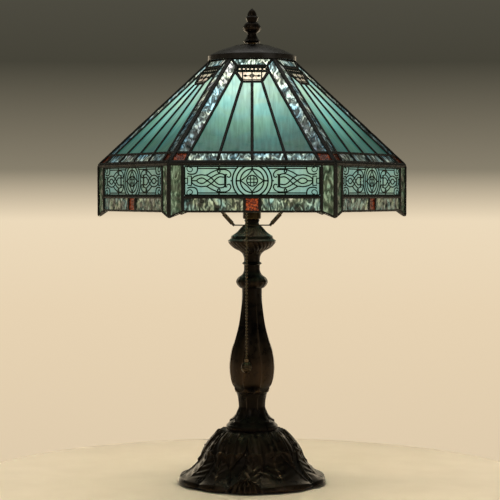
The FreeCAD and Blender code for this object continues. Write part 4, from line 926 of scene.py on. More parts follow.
@dataclass
class Foot:
    """The cast foot: overlapping leaves that sweep from the collar to a lobed, rolled rim."""

    lobe_edges: tuple[float, ...] = (-46.0, -17.0, 6.0, 56.0, 88.0)
    sways: Flat = (-5.0, 7.0)
    lobe_width: float = 1.04
    lobe_taper: float = 0.66
    leaf: float = 2.6 * MM
    ridge: float = 1.3 * MM
    vein: float = 0.5 * MM
    veins_up: float = 8.5
    lip: float = 1.5 * MM
    crown: float = 0.8 * MM
    crown_flutes: int = 30
    sunk_at_rim: float = 2.7 * MM
    sunk_above: float = 1.2 * MM
    hanging_width: float = 17.0
    shell_place: float = -5.5
    shell_rays: int = 7
    shell_height: float = 3.4 * MM
    shell_bead: float = 4.2 * MM
    crescent: float = 1.1 * MM
    crescent_places: Flat = (-7.0, 8.0)
    boss_bore: float = 5.0 * MM
    boss_start: float = 76 * MM
    bushing_flange: float = 2.0 * MM

    def lobes(self) -> list[tuple[float, float]]:
        """The start and end azimuth of every lobe, the pattern given twice round."""
        edges = [edge + half for half in (0.0, 180.0) for edge in self.lobe_edges]
        return list(zip(edges, edges[1:] + [edges[0] + 360.0]))

    def relief(self, turn: np.ndarray, rise: np.ndarray, level: np.ndarray) -> np.ndarray:
        """The height of the carving on the foot.

        Args:
            turn: the azimuth from the front, in degrees.
            rise: 0 at the rim and 1 at the collar.
            level: the level, in metres; not used.

        Returns:
            The height, in metres.
        """
        height = np.zeros_like(turn)
        for number, (start, end) in enumerate(self.lobes()):
            half = (end - start) / 2
            sway = self.sways[number % 2] * np.sin(rise * 2.6)
            x = off_by(turn - sway, (start + end) / 2) / half
            width = self.lobe_width - self.lobe_taper * ease(rise, 0.26, 0.9)
            inside = np.clip(1 - (x / width) ** 2, 0.0, 1.0)
            rim = 1.0 + 0.75 * hump(rise - 0.06, 0.09)
            body = self.leaf * np.sqrt(inside) * rim * (1 - 0.4 * ease(rise, 0.45, 0.95))
            edge = self.ridge * hump(np.abs(x) - width * 0.93, 0.055) * ease(rise, 0.1, 0.2)
            rib = 0.9 * self.ridge * hump(x, 0.06) * ease(rise, 0.12, 0.3)
            waves = np.cos(2 * math.pi * (rise * self.veins_up - 1.5 * np.abs(x)))
            veins = self.vein * waves * inside * ease(rise, 0.12, 0.3) * (1 - ease(rise, 0.75, 0.9))
            height = np.maximum(height, body + edge + rib + veins)
            height = np.maximum(height, self.hanging_leaf(off_by(turn + sway, start), rise))
        lip = self.lip * hump(rise - 0.045, 0.028)
        crown = self.crown * np.cos(np.radians(turn) * self.crown_flutes) * ease(rise, 0.84, 0.93)
        sunk = self.sunk_at_rim * (1 - ease(rise, 0.0, 0.45)) + self.sunk_above * ease(rise, 0.1, 0.45)
        return height - sunk + lip + crown + self.shells(turn, rise) + self.crescents(turn, rise)

    def hanging_leaf(self, x: np.ndarray, rise: np.ndarray) -> np.ndarray:
        """The height of an upper leaf, which hangs point down over the seam between two lobes.

        Args:
            x: how far round from the leaf's middle, in degrees.
            rise: 0 at the rim and 1 at the collar.

        Returns:
            The height, in metres.
        """
        width = self.hanging_width * ease(rise, 0.36, 0.74) + 0.01
        across = x / width
        inside = np.clip(1 - across**2, 0.0, 1.0)
        rib = 0.8 * self.ridge * hump(x, 1.3)
        fans = self.vein * np.cos(across * 9.0 + rise * 12.0) * inside
        edge = self.ridge * hump(np.abs(across) - 0.9, 0.09)
        on = ease(rise, 0.36, 0.42)
        return on * ((self.leaf * 1.15) * inside**0.4 * (inside > 0) + (rib + fans + edge) * (inside > 0))

    def shells(self, turn: np.ndarray, rise: np.ndarray) -> np.ndarray:
        """The height of the two small fans at the rim, each with a bead above it.

        Args:
            turn: the azimuth from the front, in degrees.
            rise: 0 at the rim and 1 at the collar.

        Returns:
            The height, in metres.
        """
        height = np.zeros_like(turn)
        for place in (self.shell_place, self.shell_place + 180.0):
            x = off_by(turn, place)
            spread = 5.0 + 26.0 * (1 - ease(rise, 0.02, 0.26))
            on = ease(spread / 2 - np.abs(x), -0.6, 0.6) * (1 - ease(rise, 0.19, 0.24))
            ribs = 0.5 + 0.5 * np.cos(x / spread * 2 * math.pi * self.shell_rays)
            height += self.shell_height * on * (0.3 + ribs) * ease(rise, 0.02, 0.05)
            height += self.shell_bead * hump(x, 2.2) * hump(rise - 0.235, 0.026)
        return height

    def crescents(self, turn: np.ndarray, rise: np.ndarray) -> np.ndarray:
        """The height of the short curved ridges round the dome.

        Args:
            turn: the azimuth from the front, in degrees.
            rise: 0 at the rim and 1 at the collar.

        Returns:
            The height, in metres.
        """
        height = np.zeros_like(turn)
        for number, (start, end) in enumerate(self.lobes()):
            for place in self.crescent_places:
                x = off_by(turn, (start + end) / 2 + place) / 8.0
                middle = 0.585 + 0.012 * (number % 3)
                y = (rise - middle) / 0.05
                arc = np.hypot(x, y - 0.1) - 0.75
                height += self.crescent * hump(arc, 0.22) * ease(y, -0.3, 0.25)
        return height

    def build(self) -> None:
        """Makes the casting and the boss for the cord."""
        Turning(
            "base_casting_carved",
            ("base_casting",),
            Body.STAND,
            "bronze",
            self.relief,
            columns=576,
            row=0.75 * MM,
            tallest=4.6 * MM,
        ).build()
        self.boss()

    def boss(self) -> None:
        """The rounded boss at the back, which the bushing sits in."""
        low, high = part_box("cord_bushing")
        level = (low.z + high.z) / 2
        back = high.y - self.bushing_flange
        profile = [
            (self.boss_bore, self.boss_start),
            (9.0 * MM, self.boss_start),
            (9.0 * MM, back - 1.6 * MM),
            (8.6 * MM, back - 0.6 * MM),
            (7.8 * MM, back),
            (self.boss_bore, back),
        ]
        count = 48
        clay = Clay()
        points = [(p.x, p.z, level + p.y) for p in round_points(profile, count)]
        clay.add(points, ring_faces(len(profile), count, closed=True), relief=[0.3] * len(points))
        clay.piece("base_cord_boss", Body.STAND, "bronze")


@dataclass
class Column:
    """The turned stand above the foot, with its panels, tongues, flutes and beads."""

    panels: int = 8
    flutes: int = 30
    beads: int = 64
    gadroons: int = 9
    bead_level: float = 73.2 * MM
    bead_height: float = 0.55 * MM
    tongue_tip: float = 82.5 * MM
    tongue_arch: float = 9.0 * MM
    tongue_height: float = 1.0 * MM
    tongue_edge: float = 0.6 * MM
    seam_height: float = 0.75 * MM
    collar_sunk: float = 1.1 * MM
    scallop_tip: float = 121.5 * MM
    scallop_arch: float = 5.5 * MM
    scallop_height: float = 1.1 * MM
    rib_height: float = 0.8 * MM
    panel_hollow: float = 0.55 * MM
    vase_fullness: float = 1.2 * MM
    belly_level: float = 265.8 * MM
    gadroon_height: float = 0.45 * MM
    bowl_flute: float = 0.7 * MM
    cover_flute: float = 0.4 * MM

    def foot(self, turn: np.ndarray, rise: np.ndarray, level: np.ndarray) -> np.ndarray:
        """Carves the collar and the flared neck: a bead ring, and tongues that hang over the collar.

        Args:
            turn: the azimuth from the front, in degrees.
            rise: 0 at the foot and 1 at the top; not used.
            level: the level, in metres.

        Returns:
            The height, in metres.
        """
        angle = np.radians(turn)
        beads = self.bead_height * (0.5 + 0.5 * np.cos(angle * self.beads))
        raised = beads * hump(level - self.bead_level, 1.5 * MM)
        x = off_by(turn * self.panels, 0.0) / 180.0
        tip = self.tongue_tip + self.tongue_arch * np.abs(x) ** 2.4
        tongue = ease(level - tip, -0.6 * MM, 0.6 * MM) * (1 - ease(level, 93 * MM, 101 * MM))
        raised += self.tongue_height * tongue * (1 - x**2)
        raised += self.tongue_edge * hump(level - tip, 0.9 * MM)
        raised += self.seam_height * hump(np.abs(x) - 1.0, 0.09) * between(level, 84, 90, 112, 119)
        return raised - self.collar_sunk * (1 - ease(level, 90 * MM, 100 * MM))

    def vase(self, turn: np.ndarray, rise: np.ndarray, level: np.ndarray) -> np.ndarray:
        """Carves the vase: upright panels between thin ribs, over a scalloped ring at its foot.

        Args:
            turn: the azimuth from the front, in degrees.
            rise: 0 at the foot and 1 at the top; not used.
            level: the level, in metres.

        Returns:
            The height, in metres.
        """
        x = off_by(turn * self.panels, 0.0) / 180.0
        scallop = self.scallop_tip + self.scallop_arch * np.abs(x) ** 2.0
        ring = ease(scallop - level, -0.5 * MM, 0.5 * MM)
        above = ease(level - scallop, 0.0, 4 * MM)
        fade = above * (1 - ease(level, 222 * MM, 250 * MM))
        rib = self.rib_height * hump(np.abs(x) - 1.0, 0.10)
        hollow = (1 - x**2) * self.panel_hollow
        full = self.vase_fullness * between(level, 124, 134, 170, 215)
        return self.scallop_height * ring + (rib - hollow) * fade + full

    def knop(self, turn: np.ndarray, rise: np.ndarray, level: np.ndarray) -> np.ndarray:
        """The height of the knop's carving: soft gadroons round its belly."""
        belly = hump(level - self.belly_level, 7 * MM)
        return self.gadroon_height * np.abs(np.cos(np.radians(turn) * self.gadroons)) * belly

    def bowl(self, turn: np.ndarray, rise: np.ndarray, level: np.ndarray) -> np.ndarray:
        """Carves the crown's bowl: slanting flutes up to the rim.

        Args:
            turn: the azimuth from the front, in degrees.
            rise: 0 at the foot and 1 at the top; not used.
            level: the level, in metres.

        Returns:
            The height, in metres.
        """
        slant = np.radians(turn) * self.flutes / 2 + (level - 300 * MM) / (3.2 * MM)
        return self.bowl_flute * np.abs(np.sin(slant)) * between(level, 302, 308, 318, 320)

    def cover(self, turn: np.ndarray, rise: np.ndarray, level: np.ndarray) -> np.ndarray:
        """Carves the crown's cover: faint slanting flutes on the slope.

        Args:
            turn: the azimuth from the front, in degrees.
            rise: 0 at the foot and 1 at the top; not used.
            level: the level, in metres.

        Returns:
            The height, in metres.
        """
        slant = np.radians(turn) * self.flutes / 2 - (level - 330 * MM) / (5.0 * MM)
        return self.cover_flute * np.abs(np.sin(slant)) * between(level, 326.5, 329, 335, 338)

    def build(self) -> None:
        """Turns the five pieces."""
        parts = (
            ("column_foot_carved", "column_foot", self.foot, 320),
            ("column_vase_carved", "column_vase", self.vase, 296),
            ("column_knop_carved", "column_knop", self.knop, 216),
            ("crown_bowl_carved", "crown_bowl", self.bowl, 360),
            ("crown_cover_carved", "crown_cover", self.cover, 360),
        )
        for name, node, relief, columns in parts:
            Turning(
                name, (node,), Body.STAND, "bronze", relief, columns, 0.6 * MM, 0.2 * MM, 1.2 * MM
            ).build()


@dataclass
class Top:
    """The finial, fluted like a small spire."""

    flutes: int = 8
    flute_height: float = 0.5 * MM
    ball_level: float = 599.9 * MM
    foot_level: float = 585 * MM
    foot_share: float = 0.6

    def finial(self, turn: np.ndarray, rise: np.ndarray, level: np.ndarray) -> np.ndarray:
        """Carves the finial: flutes on its ball and on its spear.

        Args:
            turn: the azimuth from the front, in degrees.
            rise: 0 at the foot and 1 at the top; not used.
            level: the level, in metres.

        Returns:
            The height, in metres.
        """
        ball = hump(level - self.ball_level, 4.5 * MM)
        foot = self.foot_share * hump(level - self.foot_level, 4 * MM)
        flutes = np.abs(np.cos(np.radians(turn) * self.flutes / 2))
        return self.flute_height * flutes * (ball + between(level, 615.5, 617, 621, 625) + foot)

    def build(self) -> None:
        """Turns the finial."""
        Turning(
            "finial_carved",
            ("finial",),
            Body.FINIAL,
            "bronze",
            self.finial,
            columns=160,
            row=0.4 * MM,
            step=0.2 * MM,
            tallest=1.0 * MM,
        ).build()


@dataclass
class Bulb:
    """The bulb's screw cap, with its rolled thread."""

    pitch: float = 3.64 * MM
    depth: float = 0.9 * MM

    def thread(self, turn: np.ndarray, rise: np.ndarray, level: np.ndarray) -> np.ndarray:
        """The rolled thread, cut below the cap's full radius.

        Args:
            turn: the azimuth from the front, in degrees.
            rise: 0 at the foot and 1 at the top; not used.
            level: the level, in metres.

        Returns:
            The height, in metres.
        """
        phase = 2 * math.pi * (level / self.pitch) - np.radians(turn)
        return -self.depth * (0.5 - 0.5 * np.cos(phase)) * between(level, 397.5, 399, 413, 415)

    def build(self) -> None:
        """Turns the cap."""
        Turning(
            "bulb_cap_threaded", ("bulb_cap",), Body.BULB, "nickel", self.thread, 120, 0.35 * MM, 0.3 * MM
        ).build()


# ------------------------------------------------------------------ pull chain


@dataclass
class PullChain:
    """The hanging bead chain and the grooved ball on its end."""

    bead: float = 1.6 * MM
    pitch: float = 4.2 * MM
    neck: float = 0.5 * MM
    around: int = 18
    rings: int = 12
    seam: float = 0.05
    points_down: tuple[float, ...] = (0.055, 0.11, 0.165)
    groove_place: float = 1.3 * MM
    groove_depth: float = 0.4 * MM
    line_height: float = 0.15 * MM

    def route(self) -> list[Vector]:
        """The chain's line, read from a smooth curve through its given points.

        Returns:
            Points from the top bead's centre down to the last one's.
        """
        low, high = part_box("pull_chain")
        x, y = (low.x + high.x) / 2, (low.y + high.y) / 2
        top, foot = high.z - self.bead, low.z + self.bead
        curve = bpy.data.curves.new("chain_route", "CURVE")
        curve.dimensions = "3D"
        spline = curve.splines.new("NURBS")
        levels = [top, *(top - down for down in self.points_down), foot]
        spline.points.add(len(levels) - 1)
        for point, level in zip(spline.points, levels):
            point.co = (x, y, level, 1.0)
        spline.order_u = 3
        spline.use_endpoint_u = True
        thing = bpy.data.objects.new("chain_route", curve)
        bpy.context.scene.collection.objects.link(thing)
        mesh = bpy.data.meshes.new_from_object(thing)
        points = [v.co.copy() for v in mesh.vertices]
        bpy.data.objects.remove(thing)
        bpy.data.meshes.remove(mesh)
        return points

    def centres(self) -> list[Vector]:
        """The bead centres, a pitch apart along the chain's line.

        Returns:
            The centres, from the top down.
        """
        points = self.route()
        reach = np.concatenate([[0.0], np.cumsum([(b - a).length for a, b in zip(points, points[1:])])])
        count = round(reach[-1] / self.pitch) + 1
        places = np.linspace(0.0, reach[-1], count)
        columns = [np.interp(places, reach, [p[axis] for p in points]) for axis in range(3)]
        return [Vector(place) for place in zip(*columns)]

    def string(self, clay: Clay, centres: Sequence[Vector]) -> None:
        """Adds beads with a soft seam round each, and the wire necks between them.

        Args:
            clay: where they go.
            centres: the bead centres, from the top down.
        """
        shoulder = self.bead * 0.94
        profile = [(self.neck, self.pitch / 2 + 0.05 * MM), (self.neck, shoulder)]
        for i in range(1, self.rings):
            angle = math.pi * i / self.rings
            seam = 1 - self.seam * math.exp(-(((angle - math.pi / 2) / 0.12) ** 2))
            radius = max(self.neck, self.bead * seam * math.sin(angle))
            profile.append((radius, self.bead * math.cos(angle)))
        profile += [(self.neck, -shoulder), (self.neck, -self.pitch / 2)]
        core = 0.02 * MM
        profile = [(core, profile[0][1])] + profile + [(core, profile[-1][1])]
        faces = ring_faces(len(profile), self.around)
        for centre in centres:
            clay.add([tuple(centre + p) for p in round_points(profile, self.around)], faces)

    def groove(self, turn: np.ndarray, rise: np.ndarray, level: np.ndarray) -> np.ndarray:
        """The ball's turned rings: two fine grooves and a raised line.

        Args:
            turn: the azimuth from the front, in degrees; not used.
            rise: 0 at the foot and 1 at the top; not used.
            level: the level, in metres.

        Returns:
            The height, in metres.
        """
        low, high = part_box("chain_knob")
        middle = (low.z + high.z) / 2
        height = level - middle
        grooves = sum(hump(height - side * self.groove_place, 0.35 * MM) for side in (1, -1))
        return self.line_height * hump(height, 0.5 * MM) - self.groove_depth * grooves

    def build(self) -> None:
        centres = self.centres()
        clay = Clay()
        self.string(clay, centres)
        chain = clay.piece("bead_chain", Body.CHAIN, "chain_brass", "pull_chain")
        knob = Turning(
            "chain_ball", ("chain_knob",), Body.CHAIN, "chain_brass", self.groove, 72, 0.4 * MM, 0.2 * MM
        ).build()


# ------------------------------------------------------------------ boards


@dataclass(frozen=True)
class Board:
    """One flat face of the shade: u runs across it, v down it, and lift stands out from its leads."""

    head: Vector
    foot: Vector

    @property
    def down(self) -> Vector:
        """The way that v runs."""
        return (self.foot - self.head).normalized()

    @property
    def out(self) -> Vector:
        """The way that lift runs."""
        return self.down.cross(Vector((1.0, 0.0, 0.0)))

    @property
    def long(self) -> float:
        """The length from head to foot."""
        return (self.foot - self.head).length

    def at(self, u: float, v: float, lift: float = 0.0) -> Vector:
        """The place of a point of the board."""
        return self.head + Vector((u, 0.0, 0.0)) + self.down * v + self.out * lift

    def flat(self, points: np.ndarray) -> np.ndarray:
        """The u, v and lift of places on the front of the lamp."""
        offset = points - np.array(self.head)
        return np.stack([offset[:, 0], offset @ np.array(self.down), offset @ np.array(self.out)], axis=1)


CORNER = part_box("upper_came")[1].x
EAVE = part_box("upper_came")[0].z
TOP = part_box("upper_came")[1].z
TOP_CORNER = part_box("shade_ring")[1].x
SKIRT_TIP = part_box("skirt_came")[0].z
CAME_THICK = 4 * MM
SLOPE = Board(Vector((0, -TOP_CORNER * APOTHEM, TOP)), Vector((0, -CORNER * APOTHEM, EAVE)))
SKIRT = Board(Vector((0, -CORNER * APOTHEM, EAVE)), Vector((0, -CORNER * APOTHEM, SKIRT_TIP)))


# ------------------------------------------------------------------ panes


@dataclass
class Pane:
    """One pane of glass, with its outline on its board and the face of the shade that it is in."""

    board: Board
    face: int
    outline: list[Flat]
    top: float
    back: float

    def edge_distance(self, u: float, v: float) -> float:
        """How far a point inside the pane is from its nearest side.

        Args:
            u: where it is across the board.
            v: where it is down the board.

        Returns:
            The distance, in metres.
        """
        nearest = 1.0
        for (au, av), (bu, bv) in zip(self.outline, self.outline[1:] + self.outline[:1]):
            side = math.hypot(bu - au, bv - av)
            nearest = min(nearest, ((bu - au) * (v - av) - (bv - av) * (u - au)) / side)
        return max(nearest, 0.0)


def clip(shape: Sequence[Flat], axis: int, limit: float, keep_below: bool) -> list[Flat]:
    """A convex outline cut along a grid line.

    Args:
        shape: the outline.
        axis: 0 for a line of constant u, 1 for constant v.
        limit: where the line is.
        keep_below: whether the smaller values are kept.

    Returns:
        What is left of the outline.
    """
    sign = 1.0 if keep_below else -1.0
    kept = []
    for here, after in zip(shape, list(shape[1:]) + [shape[0]]):
        a, b = sign * (here[axis] - limit), sign * (after[axis] - limit)
        if a <= 0:
            kept.append(here)
        if (a < 0 < b) or (b < 0 < a):
            share = a / (a - b)
            kept.append((here[0] + (after[0] - here[0]) * share, here[1] + (after[1] - here[1]) * share))
    return kept


def loose_parts(node: str) -> list[np.ndarray]:
    """The points of each separate pane of a CAD node.

    Args:
        node: the node's name.

    Returns:
        The points of every pane.
    """
    mesh = bmesh.new()
    mesh.from_mesh(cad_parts[node].data)
    bmesh.ops.remove_doubles(mesh, verts=mesh.verts, dist=0.02 * MM)
    unseen = set(mesh.verts)
    parts = []
    while unseen:
        start = unseen.pop()
        group, waiting = [start], [start]
        while waiting:
            for edge in waiting.pop().link_edges:
                for vert in edge.verts:
                    if vert in unseen:
                        unseen.discard(vert)
                        group.append(vert)
                        waiting.append(vert)
        parts.append(np.array([v.co for v in group], float))
    mesh.free()
    return parts


def read_panes(node: str) -> list[Pane]:
    """The panes of a CAD node.

    Args:
        node: the node's name.

    Returns:
        Every pane, in the order of the shade's faces and of its place on the board.
    """
    panes = []
    for points in loose_parts(node):
        middle = points.mean(axis=0)
        azimuth = math.atan2(middle[1], middle[0]) + math.pi / 2
        face = round(azimuth / FACE_TURN) % FACES
        board = SLOPE if middle[2] > EAVE else SKIRT
        flat = board.flat(turned_round(points, -face))
        lift = flat[:, 2]
        outer = flat[lift > lift.mean()][:, :2]
        centre = outer.mean(axis=0)
        turns = np.arctan2(outer[:, 1] - centre[1], outer[:, 0] - centre[0])
        outline = [(float(u), float(v)) for u, v in outer[np.argsort(turns)]]
        panes.append(Pane(board, face, outline, float(lift.max()), float(lift.min())))
    return sorted(panes, key=lambda pane: (pane.face, *(round(value, 4) for value in pane.outline[0])))


@dataclass(frozen=True)
class Glazing:
    """How the panes of one CAD node are made into rippled glass."""

    name: str
    node: str
    slot: str
    cell: float = 2.2 * MM
    ripple: float = 0.22 * MM
    grain: float = 9 * MM
    fade: float = 2.0 * MM

    def lift(self, pane: Pane, u: float, v: float, seed: float) -> float:
        """How far the glass stands above its flat face at a point."""
        place = Vector((u / self.grain, v / self.grain * 0.7, seed * 91.0))
        return self.ripple * noise.noise(place) * min(1.0, pane.edge_distance(u, v) / self.fade)

    def pour(self, clay: Clay, pane: Pane, seed: float, tone: float) -> None:
        """Adds one pane as a closed sheet with rippled faces.

        Args:
            clay: where it goes.
            pane: the pane.
            seed: a number of its own, which moves its patterns.
            tone: how light it is, from 0 to 1.
        """
        us, vs = [p[0] for p in pane.outline], [p[1] for p in pane.outline]
        places: list[Flat] = []
        numbers: dict[tuple[int, int], int] = {}
        cells = []
        for i in range(math.ceil((max(us) - min(us)) / self.cell)):
            strip = clip(pane.outline, 0, min(us) + i * self.cell, False)
            strip = clip(strip, 0, min(us) + (i + 1) * self.cell, True)
            for j in range(math.ceil((max(vs) - min(vs)) / self.cell)):
                part = clip(strip, 1, min(vs) + j * self.cell, False) if len(strip) > 2 else []
                part = clip(part, 1, min(vs) + (j + 1) * self.cell, True) if len(part) > 2 else []
                cell = []
                for u, v in part:
                    key = (round(u / MM * 2000), round(v / MM * 2000))
                    if key not in numbers:
                        numbers[key] = len(places)
                        places.append((u, v))
                    if numbers[key] not in cell:
                        cell.append(numbers[key])
                if len(cell) > 2:
                    cells.append(tuple(cell))
        front = [pane.board.at(u, v, pane.top + self.lift(pane, u, v, seed)) for u, v in places]
        behind = [pane.board.at(u, v, pane.back - self.lift(pane, u, v, seed + 0.5)) for u, v in places]
        edges = {(a, b) for cell in cells for a, b in zip(cell, cell[1:] + cell[:1])}
        count = len(places)
        faces = [cell[::-1] for cell in cells] + [tuple(count + i for i in cell) for cell in cells]
        faces += [(a, b, count + b, count + a) for a, b in sorted(edges) if (b, a) not in edges]
        points = turned_round(np.array(front + behind, float), pane.face)
        marks = [(u, v, seed) for u, v in places] * 2
        clay.add(points.tolist(), faces, board=marks, tone=[tone] * (2 * count))

    def build(self) -> list[Pane]:
        """Makes the glass of the node.

        Returns:
            Its panes.
        """
        clay = Clay()
        panes = read_panes(self.node)
        chance = np.random.default_rng(sum(map(ord, self.name)))
        for pane in panes:
            self.pour(clay, pane, float(chance.uniform(0.0, 9.0)), float(chance.uniform()))
        clay.piece(self.name, Body.SHADE, self.slot, self.node, angle=40.0)
        return panes


# ------------------------------------------------------------------ leads


def turned_area(first: np.ndarray, second: np.ndarray) -> float:
    """The area between two flat arrows, positive when the second is turned to the left."""
    return float(first[0] * second[1] - first[1] * second[0])


@dataclass(frozen=True)
class Solder:
    """A run of solder along a lead: half round, a little uneven, with domed ends."""

    half: float = 1.95 * MM
    tall: float = 1.2 * MM
    step: float = 3.5 * MM
    sunk: float = 0.15 * MM
    sides: int = 8
    dome: tuple[float, ...] = (0.0, 0.12, 0.4)
    waver: float = 0.14
    waves: float = 0.2

    def run(self, clay: Clay, path: Sequence[Vector], up: Vector) -> None:
        """Adds the run.

        Args:
            clay: where it goes.
            path: the points that it passes through, on the lead's face.
            up: the way that it bulges.
        """
        stops = [0.0]
        for a, b in zip(path, path[1:]):
            stops.append(stops[-1] + (b - a).length)
        inner = max(2, int((stops[-1] - 2 * self.half) / self.step) + 1)
        ends = [self.half * share for share in self.dome]
        places = ends + list(np.linspace(self.half, stops[-1] - self.half, inner))
        places += [stops[-1] - end for end in reversed(ends)]
        columns = [np.interp(places, stops, [p[axis] for p in path]) for axis in range(3)]
        line = [Vector(p) for p in zip(*columns)]
        points = []
        for i, (place, middle) in enumerate(zip(places, line)):
            along = (line[min(i + 1, len(line) - 1)] - line[max(i - 1, 0)]).normalized()
            across = along.cross(up).normalized()
            near = min(1.0, min(place, stops[-1] - place) / self.half)
            dome = math.sqrt(max(0.02, 1 - (1 - near) ** 2))
            wide = self.half * dome * (1 + self.waver * noise.noise(middle / (7 * MM)))
            tall = self.tall * dome * (1 + self.waves * noise.noise(middle / (11 * MM) + up * 5))
            for k in range(self.sides + 1):
                angle = math.pi * k / self.sides
                rise = tall * math.sin(angle) - self.sunk
                points.append(tuple(middle + across * wide * math.cos(angle) + up * rise))
        clay.add(points, ring_faces(len(places), self.sides + 1))


@dataclass
class Leads:
    """The solder over every lead: between the panes, and along the shade's own edges."""

    panes: list[Pane]
    came_half: float = 1.5 * MM
    close: float = 0.6 * MM
    bridge: float = 4.5 * MM
    shortest: float = 2 * MM
    hip_sunk: float = 0.6 * MM
    knee_inset: float = 0.5 * MM
    eave_sunk: float = 0.4 * MM
    top_drop: float = 1.4 * MM
    hem_lead: float = 1.8 * MM

    def centre_lines(self, board: Board) -> list[tuple[np.ndarray, np.ndarray]]:
        """The lines between neighbouring panes of a board.

        Args:
            board: the board.

        Returns:
            The two ends of every line, in u and v.
        """
        sides = []
        for pane in self.panes:
            if pane.board is not board or pane.face:
                continue
            for a, b in zip(pane.outline, pane.outline[1:] + pane.outline[:1]):
                start, end = np.array(a), np.array(b)
                along = (end - start) / np.linalg.norm(end - start)
                outward = np.array([along[1], -along[0]]) * self.came_half
                sides.append((start + outward, end + outward, along))
        lines: list[list[np.ndarray]] = []
        for start, end, along in sides:
            for other_start, other_end, other_along in sides:
                offset = abs(turned_area(along, other_start - start))
                reach = sorted((np.dot(other_start - start, along), np.dot(other_end - start, along)))
                shared = min(reach[1], np.dot(end - start, along)) - max(reach[0], 0.0)
                facing = np.dot(along, other_along) < -0.999
                if facing and offset < self.close and shared > self.shortest:
                    lines.append([start, end])
        return self.merged(lines)

    def merged(self, lines: list[list[np.ndarray]]) -> list[tuple[np.ndarray, np.ndarray]]:
        """Joins lines that lie on one another or end to end.

        Args:
            lines: the two ends of every line.

        Returns:
            The two ends of every joined line.
        """
        whole: list[tuple[np.ndarray, np.ndarray]] = []
        for start, end in lines:
            along = (end - start) / np.linalg.norm(end - start)
            if along[1] < -1e-6 or (abs(along[1]) < 1e-6 and along[0] < 0):
                along = -along
            low, high = sorted((np.dot(start, along), np.dot(end, along)))
            base = start - along * np.dot(start, along)
            joined = True
            while joined:
                joined = False
                for other in whole:
                    other_along = (other[1] - other[0]) / np.linalg.norm(other[1] - other[0])
                    gap = abs(turned_area(other_along, base + along * low - other[0]))
                    span = sorted((np.dot(other[0], along), np.dot(other[1], along)))
                    near = span[0] - self.bridge < high and span[1] + self.bridge > low
                    if abs(np.dot(along, other_along)) > 0.9995 and gap < self.close and near:
                        low, high = min(low, span[0]), max(high, span[1])
                        whole = [kept for kept in whole if kept is not other]
                        joined = True
                        break
            whole.append((base + along * low, base + along * high))
        return whole

    def borders(self, clay: Clay) -> None:
        """Adds the runs along the hip, the corner, the eave, the top and the skirt's edge of a face.

        Args:
            clay: where they go.
        """
        angle = math.radians(-60.0)
        outward = Vector((math.cos(angle), math.sin(angle), 0.0))
        beside = Vector((-outward.y, outward.x, 0.0))
        head = outward * TOP_CORNER + Vector((0, 0, TOP))
        knee = outward * CORNER + Vector((0, 0, EAVE))
        tip = outward * CORNER + Vector((0, 0, SKIRT_TIP))
        hip_up = beside.cross((knee - head).normalized())
        hip_up = hip_up if hip_up.z > 0 else -hip_up
        sunk = hip_up * self.hip_sunk
        Solder(3.2 * MM, 1.7 * MM).run(clay, [head - sunk, knee - sunk], hip_up)
        inset = (hip_up + outward).normalized() * self.knee_inset
        Solder(2.9 * MM, 1.5 * MM).run(clay, [knee - inset, tip - outward * self.hip_sunk], outward)
        eave_up = (SLOPE.out + SKIRT.out).normalized()
        half = CORNER / 2
        eave = [SLOPE.at(side * half, SLOPE.long) - eave_up * self.eave_sunk for side in (-1, 1)]
        Solder(2.5 * MM, 1.5 * MM).run(clay, eave, eave_up)
        top = [SLOPE.at(side * TOP_CORNER / 2, self.top_drop) for side in (-1, 1)]
        Solder(1.9 * MM, 1.2 * MM).run(clay, top, SLOPE.out)
        edge = self.skirt_edge()
        for a, b in zip(edge, edge[1:]):
            ends = [SKIRT.at(*a, -CAME_THICK / 2), SKIRT.at(*b, -CAME_THICK / 2)]
            below = (ends[1] - ends[0]).normalized().cross(Vector((0.0, -1.0, 0.0)))
            below = below if below.z < 0 else -below
            Solder(2.6 * MM, 1.0 * MM).run(clay, ends, below)

    def skirt_edge(self) -> list[Flat]:
        """The lower edge of a skirt face: level in the middle, and lower towards both corners.

        Returns:
            Its four points, in u and v.
        """
        half = CORNER / 2
        skirt = [pane for pane in self.panes if pane.board is SKIRT]
        level = max(v for pane in skirt for u, v in pane.outline if abs(u) < half * 0.5) + self.hem_lead
        inner = [pane for pane in skirt if abs(pane.outline[0][0]) < half * 0.8]
        post = max(abs(u) for pane in inner for u, _ in pane.outline)
        return [(-half, SKIRT.long), (-post, level), (post, level), (half, SKIRT.long)]

    def build(self) -> None:
        """Makes the solder of the outside and the inside as two pieces."""
        for side in Side:
            clay = Clay()
            for board in (SLOPE, SKIRT):
                up = board.out * side.value
                lift = 0.0 if side is Side.OUTSIDE else -CAME_THICK
                for start, end in self.centre_lines(board):
                    Solder().run(clay, [board.at(*start, lift), board.at(*end, lift)], up)
            if side is Side.OUTSIDE:
                self.borders(clay)
            clay.round_copies().piece(f"lead_solder_{side.name.lower()}", Body.SHADE, "lead", angle=70.0)


# ------------------------------------------------------------------ filigree


